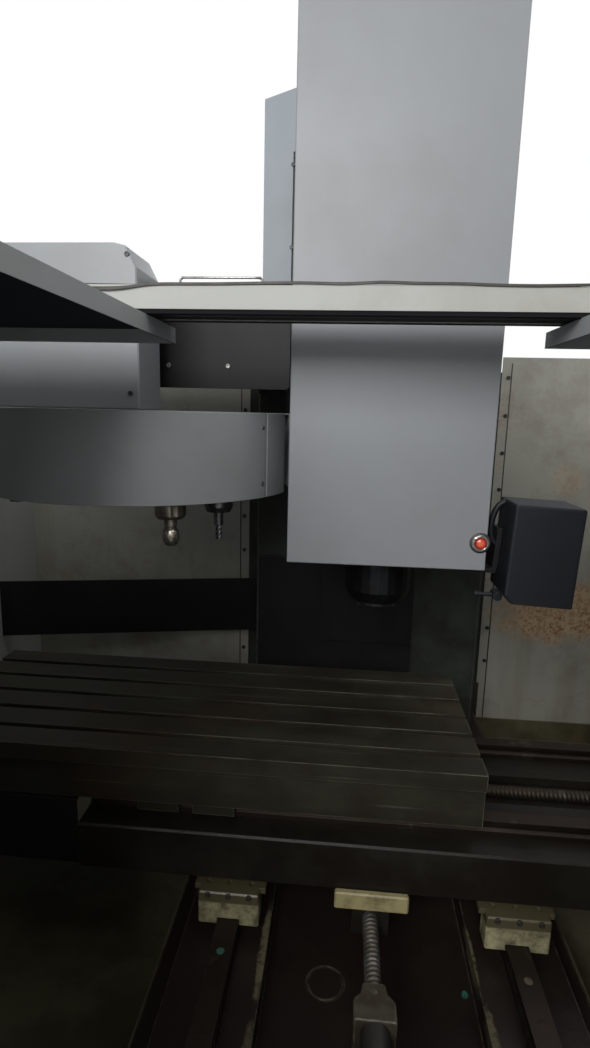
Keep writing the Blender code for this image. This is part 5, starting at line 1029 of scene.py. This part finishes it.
chuck = plain(
    (0.0300, 0.001), (0.0305, 0.003), (0.0305, 0.020), (0.0298, 0.0205), (0.0298, 0.0225), (0.0305, 0.023),
    (0.0305, 0.048), (0.0295, 0.052), (0.0255, 0.0615), (0.0100, 0.0630), (0.0100, 0.0900), (0.0068, 0.0915),
)
flute_drops = np.linspace(0.0925, 0.1215, 16)
chuck += [(0.0068, drop, 4, 0.0030, 150.0) for drop in flute_drops]
chuck += [(0.0, 0.1215, 0, 0.0, 0.0)]
tool("tool_end_mill", holder_steel, chuck)

nut = plain((0.0235, 0.001), (0.0235, 0.0350), (0.0242, 0.0360), (0.0300, 0.0375), (0.0312, 0.0390))
nut += [(0.0312, drop, 6, 0.0042, 0.0) for drop in (0.0400, 0.0600)]
nut += plain((0.0305, 0.0615), (0.0258, 0.0675), (0.0130, 0.0685), (0.0128, 0.0830))
capsule = np.linspace(0.15 * np.pi, 0.98 * np.pi, 14)
nut += plain(*[(0.0172 * math.sin(a) ** 0.6, 0.1040 - 0.0204 * math.cos(a)) for a in capsule])
nut += plain((0.0, 0.1245))
tool("tool_collet_nut", bright_steel, nut)

shank = plain((0.0218, 0.001), (0.0218, 0.0395), (0.0205, 0.0410))
shank += [(0.0180, drop, 4, 0.0030, 0.0) for drop in (0.0415, 0.0615)]
shank += plain((0.0, 0.0618))
tool("tool_square_shank", holder_steel, shank)


# Enclosure: painted sheet round the work area. The side walls and the front frame are beige, wiped
# clean above and yellowed by coolant below; the rear walls have rusted where chips lay against them.

case_paint = coat_of_paint(
    "case_paint", (0.50, 0.51, 0.48), (0.46, 0.44, 0.38), (0.21, 0.19, 0.135),
    wear=(0.0016, 0.5), stain=(3.4, 0.30, 0.26, 0.10), run=(6.0, 0.26), gloss=(0.42, 0.5),
    peel=340.0, relief=0.2,
)
dress(case_paint, "left_wall", "right_wall", "front_panel", "pendant_arm")
# The beam's underside, and everything up to 7 mm above its bottom, is painted near black as painted shade.
beam_paint = coat_of_paint(
    "beam_paint", (0.47, 0.475, 0.445), (0.46, 0.44, 0.38), (0.21, 0.19, 0.135),
    wear=(0.0016, 0.6), stain=(2.6, 0.34, 0.45, 0.35), run=(6.0, 0.20), gloss=(0.42, 0.5),
    peel=340.0, relief=0.2, shine=0.15, under=((0.006, 0.006, 0.007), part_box("header_beam")[0].z + 0.0072),
)
dress(beam_paint, "header_beam")


def rusted_wall_paint():
    """Yellowed grey paint with coolant runs, and rust on the inner face where chips lay against it."""
    material, tree, shader = blank("rear_wall_paint")
    tone = tint(tree, cloud(tree, 2.4, 5.0), (0.310, 0.304, 0.262), (0.415, 0.410, 0.360))
    drips = use(tree, "runs", Scale=7.0, Stretch=0.10, Amount=0.55)
    colour = tint(tree, drips, tone, (0.22, 0.195, 0.135))
    soil = use(tree, "settled_dirt", Scale=4.0, Cover=0.36, Amount=0.6, Film=0.1)
    colour = tint(tree, soil, colour, (0.15, 0.13, 0.09))
    lower_patch = patch_of(tree, (0.700, 0.752, 0.850), (0.30, 0.3, 0.17), 9.0)
    upper_patch = patch_of(tree, (0.690, 0.752, 1.330), (0.08, 0.3, 0.09), 16.0)
    patches = calc(tree, "MAXIMUM", lower_patch, calc(tree, "MULTIPLY", upper_patch, 0.30))
    toward_front = along(tree, "y", facing=True)
    patches = calc(tree, "MULTIPLY", patches, spread(tree, toward_front, -0.2, -0.6))
    halo = calc(tree, "MULTIPLY", patches, 0.75)
    colour = tint(tree, halo, colour, (0.52, 0.37, 0.215))
    pits = spread(tree, cloud(tree, 95.0, 6.0, rough=0.75), 0.47, 0.57)
    small = use(tree, "rust_spots", Scale=5.5, Cover=0.24, Fine=110.0)
    rust = calc(tree, "MAXIMUM", calc(tree, "MULTIPLY", patches, pits), small)
    tones = tint(tree, cloud(tree, 34.0, 6.0, rough=0.7), (0.13, 0.060, 0.026), (0.46, 0.235, 0.105))
    colour = tint(tree, rust, colour, tones)
    surface(tree, shader, colour, ramp(tree, rust, 0.46, 0.85))
    relief = calc(tree, "MULTIPLY", cloud(tree, 110.0, 5.0, rough=0.7), calc(tree, "ADD", rust, 0.25))
    grain(tree, shader, relief, 0.6)
    return material


dress(rusted_wall_paint(), "rear_wall_left", "rear_wall_right")
BOLT_TOP = 1.677
BOLT_PITCH = 0.1285
wall_bolts = []
for node, inset in (("rear_wall_right", 0.022), ("rear_wall_left", -0.018)):
    low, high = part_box(node)
    edge = low.x if inset > 0 else high.x
    wall_bolts += [(edge + inset, low.y, BOLT_TOP - BOLT_PITCH * k) for k in range(9)]
cap_screws("rear_wall_bolts", wall_bolts, "y", 0.0070, black_fixing, "frame")
RUBBER = 0.0015
REAR_WALLS = (("rear_wall_right", 1), ("rear_wall_left", -1))


def wall_rubber(node, inward, near, far, behind, foot, head):
    """A strip of rubber on a rear wall's front face, between two distances from its inner edge."""
    low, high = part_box(node)
    edge = low.x if inward > 0 else high.x
    x = sorted((edge + inward * near, edge + inward * far))
    return rounded_block((x[0], low.y - RUBBER, foot), (x[1], low.y + behind, head), 0.001, 0.0005)


seals = []
for node, inward in REAR_WALLS:
    low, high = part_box(node)
    seals.append(wall_rubber(node, inward, 0.030, 0.034, 0.0005, low.z + 0.001, high.z - 0.02))
piece("rear_wall_seals", seals, wiper_rubber, "frame")


# Gap flaps: two strips of black rubber sheet that close the gap between the column's foot and the
# two rear walls, to keep chips in. They are bonded to the front of the walls, along the edge.

FLAP_FOOT = 0.4205
FLAP_HEAD = 0.560
flaps = [wall_rubber(node, inward, -0.090, 0.008, 0.0, FLAP_FOOT, FLAP_HEAD) for node, inward in REAR_WALLS]
piece("gap_flaps", flaps, wiper_rubber, "frame")


# Rubber strip: a thin black seal along the header beam's top front edge. Its left end has come
# loose and sags in front of the beam, and the rest waves a little where the glue let go.

beam_low, beam_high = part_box("header_beam")
STRIP_HEIGHT = 0.0045
STRIP_DEPTH = 0.012
STRIP_LIP = 0.0016
LOOSE_SAG = 0.0105
strip_x = np.linspace(beam_low.x + 0.04, beam_high.x - 0.04, 600)
loose = 1 / (1 + np.exp(-(strip_x + 0.62) / 0.02)) / (1 + np.exp((strip_x + 0.425) / 0.016))
sag = LOOSE_SAG * loose
wave = 0.0011 * np.sin(strip_x * 21.0 + 1.1 * np.sin(strip_x * 7.0)) + 0.0012
swell = 0.0035 * np.exp(-((strip_x + 0.040) / 0.045) ** 2)
low_edge = beam_high.z - 0.0010 + wave + swell - sag
front_y = beam_low.y - 0.0006 - 0.0025 * loose
back_y = np.full_like(strip_x, beam_low.y + STRIP_DEPTH)
sections = (
    (front_y - STRIP_LIP, low_edge), (front_y, low_edge), (back_y, low_edge + 0.0022 + sag),
    (back_y, low_edge + 0.0034 + sag), (front_y, low_edge + STRIP_HEIGHT),
    (front_y - STRIP_LIP, low_edge + STRIP_HEIGHT - 0.001),
)
strip = np.stack([np.stack([strip_x, y, z], -1) for y, z in sections])
piece("beam_strip", [grid_faces(strip, along=True)], wiper_rubber, "frame", 50.0)


# Bent rod: a thin steel stay over the tool changer's bracket plate, bent down at both ends and
# seated on the plate's top edge.

plate_low, plate_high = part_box("tc_bracket")
rod_y = plate_low.y + 0.026
ROD_ENDS = (-0.525, -0.314)
ROD_BEND = ((0.0, -0.004), (0.0, 0.008), (0.006, 0.014), (0.02, 0.015))
rod_route = [(ROD_ENDS[0] + reach, rod_y, plate_high.z + rise) for reach, rise in ROD_BEND]
rod_route += [(ROD_ENDS[1] - reach, rod_y, plate_high.z + rise) for reach, rise in ROD_BEND[::-1]]
piece("bracket_stay", [carried_round(rod_route, 0.003, 12)], fixing_steel, "frame", 60.0)


# Doors: two folded steel doors whose roofs reach back over the work area. The roofs are matt grey
# with dust, and every face that looks down is painted near black as painted shade; the fronts have a window
# in a black rubber frame and a bent bar handle.

door_paint = coat_of_paint(
    "door_paint", (0.375, 0.390, 0.400), (0.46, 0.46, 0.45), (0.26, 0.25, 0.225),
    wear=(0.0018, 0.6), stain=(2.2, 0.38, 0.45, 0.30), run=(6.0, 0.20), gloss=(0.44, 0.58),
    peel=340.0, relief=0.2, shine=0.12, under=((0.010, 0.012, 0.015), -1.0),
)
dress(door_paint, "left_door", "right_door")


def window_sheet():
    """Clear sheet with a faint grey tone, scratched and fogged by coolant spray in places."""
    material, tree, shader = blank("window_sheet", Transmission_Weight=1.0, IOR=1.49)
    fog = use(tree, "settled_dirt", Scale=6.0, Cover=0.42, Amount=0.8, Film=0.0)
    colour = tint(tree, fog, (0.93, 0.95, 0.95), (0.78, 0.78, 0.74))
    surface(tree, shader, colour, ramp(tree, fog, 0.03, 0.30))
    scratch = cloud(tree, 220.0, 2.0, (1.0, 1.0, 0.04))
    grain(tree, shader, scratch, 0.04, 0.0005)
    return material


dress(window_sheet(), "left_window", "right_window")
FRAME_WIDTH = 0.022
FRAME_STAND = 0.004
FRAME_LAP = 0.012
PANEL_DEPTH = 0.049


def window_frame(side):
    """A rubber frame round the opening: six round-cornered rings joined into one moulding."""
    low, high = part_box(side + "_window")
    middle_x, _, middle_z = middle_of(side + "_window")
    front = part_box(side + "_door")[0].y + PANEL_DEPTH
    half_x = (high.x - low.x) / 2 - FRAME_LAP
    half_z = (high.z - low.z) / 2 - FRAME_LAP
    turn, sign_x, sign_z = corner_turns(7)
    rings = []
    for inset, stand, corner in (
        (0.004, -0.0005, 0.012), (0.004, FRAME_STAND - 0.001, 0.012), (0.002, FRAME_STAND, 0.012),
        (0.002 - FRAME_WIDTH, FRAME_STAND, 0.024), (-FRAME_WIDTH, FRAME_STAND - 0.002, 0.024),
        (-FRAME_WIDTH, -0.0005, 0.024),
    ):
        x = middle_x + sign_x * (half_x - inset - corner) + corner * np.cos(turn)
        z = middle_z + sign_z * (half_z - inset - corner) + corner * np.sin(turn)
        rings.append(np.stack([x, np.full_like(x, front - stand), z], -1))
    return grid_faces(np.stack(rings), around=True, along=True)


for side in ("left", "right"):
    piece(side + "_window_frame", [window_frame(side)], wiper_rubber, "door_" + side, 35.0)


# Control cabinet: a painted steel cabinet on the column's back. Its door has two banks of pressed
# louvres, and two quarter-turn locks sunk in cups along the free edge.

cabinet_paint = coat_of_paint(
    "cabinet_paint", (0.46, 0.47, 0.44), (0.44, 0.43, 0.38), (0.24, 0.22, 0.17),
    wear=(0.002, 0.5), stain=(1.8, 0.34, 0.40, 0.25), run=(4.0, 0.25), gloss=(0.45, 0.55),
    peel=320.0, relief=0.2,
)
dress(cabinet_paint, "control_cabinet")
LOUVRE_PITCH = 0.030
LOUVRE_DEPTH = 0.010
LOUVRE_HALF_WIDTH = 0.17
LOCK_RADIUS = 0.030
LOCK_DEPTH = 0.012
door_low, door_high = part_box("cabinet_door")
lock_x = door_low.x + 0.060
lock_heights = (door_low.z + 0.42, door_high.z - 0.42)


def pressed_door():
    """The door's back face as a height over X and Z: louvres dip in slanted steps, locks in round cups."""
    inset = 0.0005
    x = np.linspace(door_low.x + inset, door_high.x - inset, 151)
    z = np.linspace(door_low.z + inset, door_high.z - inset, 601)
    across, up = np.meshgrid(x, z)
    depth = np.zeros_like(across)
    middle, _, centre = middle_of("cabinet_door")
    for centre_z in (door_low.z + 0.26, door_high.z - 0.26):
        inside = (np.abs(across - middle) < LOUVRE_HALF_WIDTH) & (np.abs(up - centre_z) < 5 * LOUVRE_PITCH)
        phase = ((up - centre_z) / LOUVRE_PITCH) % 1.0
        depth += np.where(inside, LOUVRE_DEPTH * np.clip(1 - phase * 1.25, 0, 1), 0)
    for lock_z in lock_heights:
        away = np.hypot(across - lock_x, up - lock_z)
        depth += LOCK_DEPTH * np.clip((LOCK_RADIUS - away) / 0.008, 0, 1)
    edge = np.minimum(np.minimum(across - x[0], x[-1] - across), np.minimum(up - z[0], z[-1] - up))
    depth += 0.004 * np.clip(1 - edge / 0.004, 0, 1) ** 2
    face = np.stack([across, door_high.y - depth, up], -1)
    rim = np.concatenate([face[0], face[1:, -1], face[-1, -2::-1], face[-2:0:-1, 0]])
    front = rim.copy()
    front[:, 1] = door_low.y
    hub = np.repeat([[middle, door_low.y, centre]], len(rim), 0)
    return [grid_faces(face), grid_faces(np.stack([rim, front, hub]), around=True)]


pressed = piece("cabinet_door_pressed", pressed_door(), cabinet_paint, "door_cabinet", 28.0)
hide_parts("cabinet_door")
locks = []
cup = door_high.y - LOCK_DEPTH - 0.0005
lock_steps = ((0.0, 0.0), (0.014, 0.0), (0.014, 0.006), (0.0125, 0.0075), (0.0, 0.0075))
lock_profile = [(radius, -cup - rise) for radius, rise in lock_steps]
for z in lock_heights:
    locks.append(lathe(lock_profile, (lock_x, 0, z), "y", 28))
    wing_low = (door_low.x + 0.0485, cup + 0.004, z - 0.0025)
    wing_high = (door_low.x + 0.0715, cup + 0.0105, z + 0.0025)
    locks.append(rounded_block(wing_low, wing_high, 0.001, 0.0006))
piece("cabinet_locks", locks, fixing_steel, "door_cabinet", 30.0)


# Operator's pendant: a blue-grey sheet case on a bent tube arm. It has a dark screen behind a bezel,
# rows of blank keys, a red stop button on a yellow ring, and a hand wheel over a divided dial.

pendant_paint = coat_of_paint(
    "pendant_paint", (0.28, 0.31, 0.34), (0.42, 0.43, 0.43), (0.16, 0.155, 0.14),
    wear=(0.0015, 0.6), stain=(9.0, 0.36, 0.45, 0.25), run=(12.0, 0.15), gloss=(0.42, 0.55),
    peel=420.0,
)
dress(pendant_paint, "pendant_box")
case_low, case_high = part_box("pendant_box")
case_x = middle_of("pendant_box")[0]


def moulded(name, colour, worn, gloss, coat=0.0):
    """Moulded plastic: a fine eggshell grain, greasy patches and edges rubbed by fingers."""
    material, tree, shader = blank(name, Coat_Weight=coat, Coat_Roughness=0.12)
    tone = tint(tree, cloud(tree, 40.0, 4.0), times(colour, MOTTLE), colour)
    rub = use(tree, "edge_wear", Radius=0.0012, Amount=0.6, Breakup=140.0)
    grease = use(tree, "settled_dirt", Scale=45.0, Cover=0.42, Amount=0.5, Film=0.0)
    mixed = tint(tree, grease, tone, [channel * 0.55 + 0.01 for channel in colour])
    surface(tree, shader, tint(tree, rub, mixed, worn), ramp(tree, grease, gloss, gloss * 0.6))
    grain(tree, shader, cloud(tree, 700.0, 2.0), 0.15, 0.0006)
    return material


screen_glass = moulded("screen_glass", (0.012, 0.015, 0.014), (0.03, 0.03, 0.03), 0.10, 0.8)
key_grey = moulded("key_grey", (0.52, 0.52, 0.49), (0.36, 0.35, 0.33), 0.45)
key_dark = moulded("key_dark", (0.045, 0.048, 0.052), (0.13, 0.13, 0.13), 0.42)
stop_red = moulded("stop_red", (0.50, 0.020, 0.014), (0.30, 0.05, 0.04), 0.30, 0.4)
stop_yellow = moulded("stop_yellow", (0.72, 0.42, 0.020), (0.45, 0.27, 0.04), 0.40)
wheel_black = moulded("wheel_black", (0.016, 0.016, 0.017), (0.09, 0.09, 0.09), 0.34)
dial_silver = ground_steel(
    "dial_silver", (0.58, 0.58, 0.57), (0.22, 0.20, 0.17), (0.05, 1.0, 1.0), gloss=(0.3, 0.45), cover=0.3,
)

screen_high = case_high.z - 0.035
screen_low = screen_high - 0.150
glass_low = (case_x - 0.0985, case_low.y + 0.0012, screen_low + 0.0015)
glass_high = (case_x + 0.0985, case_low.y + 0.0042, screen_high - 0.0015)
piece("pendant_screen", [rounded_block(glass_low, glass_high, 0.004, 0.0008, "y")], screen_glass, "pendant")
keys = []
dark_keys = []
KEY_ROWS = 4
KEY_COLUMNS = 10
for row in range(KEY_ROWS):
    for column in range(KEY_COLUMNS):
        x = case_x + (column - (KEY_COLUMNS - 1) / 2) * 0.0245
        z = screen_low - 0.026 - row * 0.0195
        block_low = (x - 0.0095, case_low.y - 0.0030, z - 0.0068)
        block_high = (x + 0.0095, case_low.y + 0.0008, z + 0.0068)
        target = dark_keys if column > 7 or row == 0 else keys
        target.append(rounded_block(block_low, block_high, 0.0028, 0.0012, "y", 3))
piece("pendant_keys", keys, key_grey, "pendant", 35.0)
piece("pendant_keys_dark", dark_keys, key_dark, "pendant", 35.0)

stop_low, stop_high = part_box("estop_button")
stop_x, _, stop_z = middle_of("estop_button")


def flat_ring(inner, outer, chamfer, rise):
    """A flat ring's profile on the case's front, with a chamfer round its outer rim."""
    back, top = -case_low.y - 0.0004, -case_low.y + rise
    rim = [(outer, back), (outer, top - 0.0006), (outer - chamfer, top)]
    return [(inner, back), *rim, (inner, top), (inner, back)]


stop_profile = flat_ring(0.0206, 0.0300, 0.0012, 0.0020)
piece("stop_ring", [lathe(stop_profile, (stop_x, 0, stop_z), "y", 48)], stop_yellow, "pendant", 35.0)
front = -stop_low.y
dome = np.linspace(0, np.pi / 2, 7)
mushroom = [(0.0185 * math.sin(a), front - 0.004 * (1 - math.cos(a))) for a in dome]
for radius, drop in ((0.0199, 0.0070), (0.0199, 0.0140), (0.0186, 0.0160), (0.0079, 0.0160)):
    mushroom.append((radius, front - drop))
mushroom += [(0.0079, -stop_high.y), (0.0, -stop_high.y)]
stop = piece("stop_mushroom", [lathe(mushroom, (stop_x, 0, stop_z), "y", 48)], stop_red, "stop_plunger", 35.0)
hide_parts("estop_button")

dress(wheel_black, "jog_wheel")
WHEEL_OFFSET = 0.0525
WHEEL_DROP = 0.320
wheel_x, wheel_z = case_x + WHEEL_OFFSET, case_high.z - WHEEL_DROP
dial = flat_ring(0.0395, 0.0500, 0.0010, 0.0016)
piece("wheel_dial", [lathe(dial, (wheel_x, 0, wheel_z), "y", 72)], dial_silver, "pendant", 35.0)
marks = []
DIVISIONS = 100
for index in range(DIVISIONS):
    turn = 2 * math.pi * index / DIVISIONS
    long_mark = index % 10 == 0
    reach = 0.0405 if long_mark else 0.0430
    radial = np.array([math.sin(turn), 0.0, math.cos(turn)])
    side = np.array([math.cos(turn), 0.0, -math.sin(turn)]) * (0.0005 if long_mark else 0.0003)
    middle = np.array([wheel_x, case_low.y - 0.0017, wheel_z])
    corners = [radial * reach - side, radial * reach + side, radial * 0.0478 + side, radial * 0.0478 - side]
    front_face = np.array(corners) + middle
    marks.append(grid_faces(np.stack([front_face, front_face + (0, 0.0004, 0)]), around=True))
piece("dial_marks", marks, wheel_black, "pendant")


# Stage: a plain pale floor that only keeps the machine's shadow, a white background and soft studio
# light from above, in front and behind. The camera stands where the photograph's does, at the open doors.

def white_world():
    """White where the camera, a mirror or glass looks past the object, and a soft dim sky elsewhere."""
    world = bpy.data.worlds.new("studio")
    world.use_nodes = True
    tree = world.node_tree
    tree.nodes.clear()
    rays = add(tree, "LightPath").outputs
    seen = calc(tree, "MAXIMUM", rays["Is Camera Ray"], rays["Is Transmission Ray"])
    seen = calc(tree, "MAXIMUM", seen, rays["Is Glossy Ray"])
    white = add(tree, "Background", {"Color": (1.0, 1.0, 1.0, 1.0), "Strength": 1.0}).outputs[0]
    sky = add(tree, "Background", {"Color": (0.93, 0.96, 1.0, 1.0), "Strength": 0.20}).outputs[0]
    mixed = add(tree, "MixShader", {0: seen, 1: sky, 2: white}).outputs[0]
    tree.links.new(mixed, add(tree, "OutputWorld").inputs["Surface"])
    bpy.context.scene.world = world


white_world()


def stage_floor():
    """A plain pale matt floor, a flat disc of three rings, that takes the object's shadow."""
    material, tree, shader = blank("floor_pale", Roughness=0.9)
    shader.inputs["Base Color"].default_value = (0.88, 0.88, 0.88, 1.0)
    mesh = bpy.data.meshes.new("floor")
    turn = full_turn(96)
    circle = np.stack([np.cos(turn), np.sin(turn), np.zeros_like(turn)], -1)
    rings = [radius * circle for radius in (0.001, 3.0, 8.0, 14.0)]
    points, faces = grid_faces(np.stack(rings), around=True)
    mesh.from_pydata(points.tolist(), [], faces.tolist())
    mesh.materials.append(material)
    floor = bpy.data.objects.new("floor", mesh)
    bpy.context.scene.collection.objects.link(floor)


stage_floor()


def soft_light(name, place, aim, size, power, colour=(1.0, 1.0, 1.0)):
    """An area light turned from its place to its aim."""
    data = bpy.data.lights.new(name, "AREA")
    data.shape = "RECTANGLE"
    data.size, data.size_y = size
    data.energy = power
    data.color = colour
    light = bpy.data.objects.new(name, data)
    light.location = place
    from_to = mathutils.Vector(aim) - mathutils.Vector(place)
    light.rotation_euler = from_to.to_track_quat("-Z", "Y").to_euler()
    bpy.context.scene.collection.objects.link(light)


soft_light("front_left", (-0.8, -3.3, 2.85), (0.0, 0.0, 1.2), (2.2, 1.4), 98.0)
soft_light("over_right", (2.4, -1.4, 3.2), (0.1, 0.2, 1.2), (1.8, 1.8), 20.0, (1.0, 0.98, 0.95))
soft_light("roof_fill", (0.0, 0.4, 3.8), (0.0, 0.3, 0.8), (2.2, 1.6), 18.0, (0.95, 0.98, 1.0))
soft_light("behind", (-0.6, 4.6, 2.6), (0.0, 1.0, 0.9), (3.0, 1.6), 70.0)

CAMERA_PLACE = (-0.0846, -1.4036, 1.5404)
YAW = math.radians(4.78)
PITCH = math.radians(10.50)
ROLL = math.radians(1.34)
FOCAL_PIXELS = 596.3
FRAME_HEIGHT = 1048
SENSOR = 36.0
level = math.cos(PITCH)
ahead = mathutils.Vector((-math.sin(YAW) * level, math.cos(YAW) * level, -math.sin(PITCH)))
level_right = mathutils.Vector((math.cos(YAW), math.sin(YAW), 0.0))
level_down = ahead.cross(level_right)
right = math.cos(ROLL) * level_right - math.sin(ROLL) * level_down
down = math.sin(ROLL) * level_right + math.cos(ROLL) * level_down
camera_data = bpy.data.cameras.new("camera")
camera_data.sensor_width = SENSOR
camera_data.lens = SENSOR * FOCAL_PIXELS / FRAME_HEIGHT
camera_data.clip_start = 0.02
camera = bpy.data.objects.new("camera", camera_data)
turned = mathutils.Matrix((right, -down, -ahead)).transposed().to_4x4()
camera.matrix_world = mathutils.Matrix.Translation(CAMERA_PLACE) @ turned
bpy.context.scene.collection.objects.link(camera)
bpy.context.scene.camera = camera
view = bpy.context.scene.view_settings
view.view_transform = "Standard"
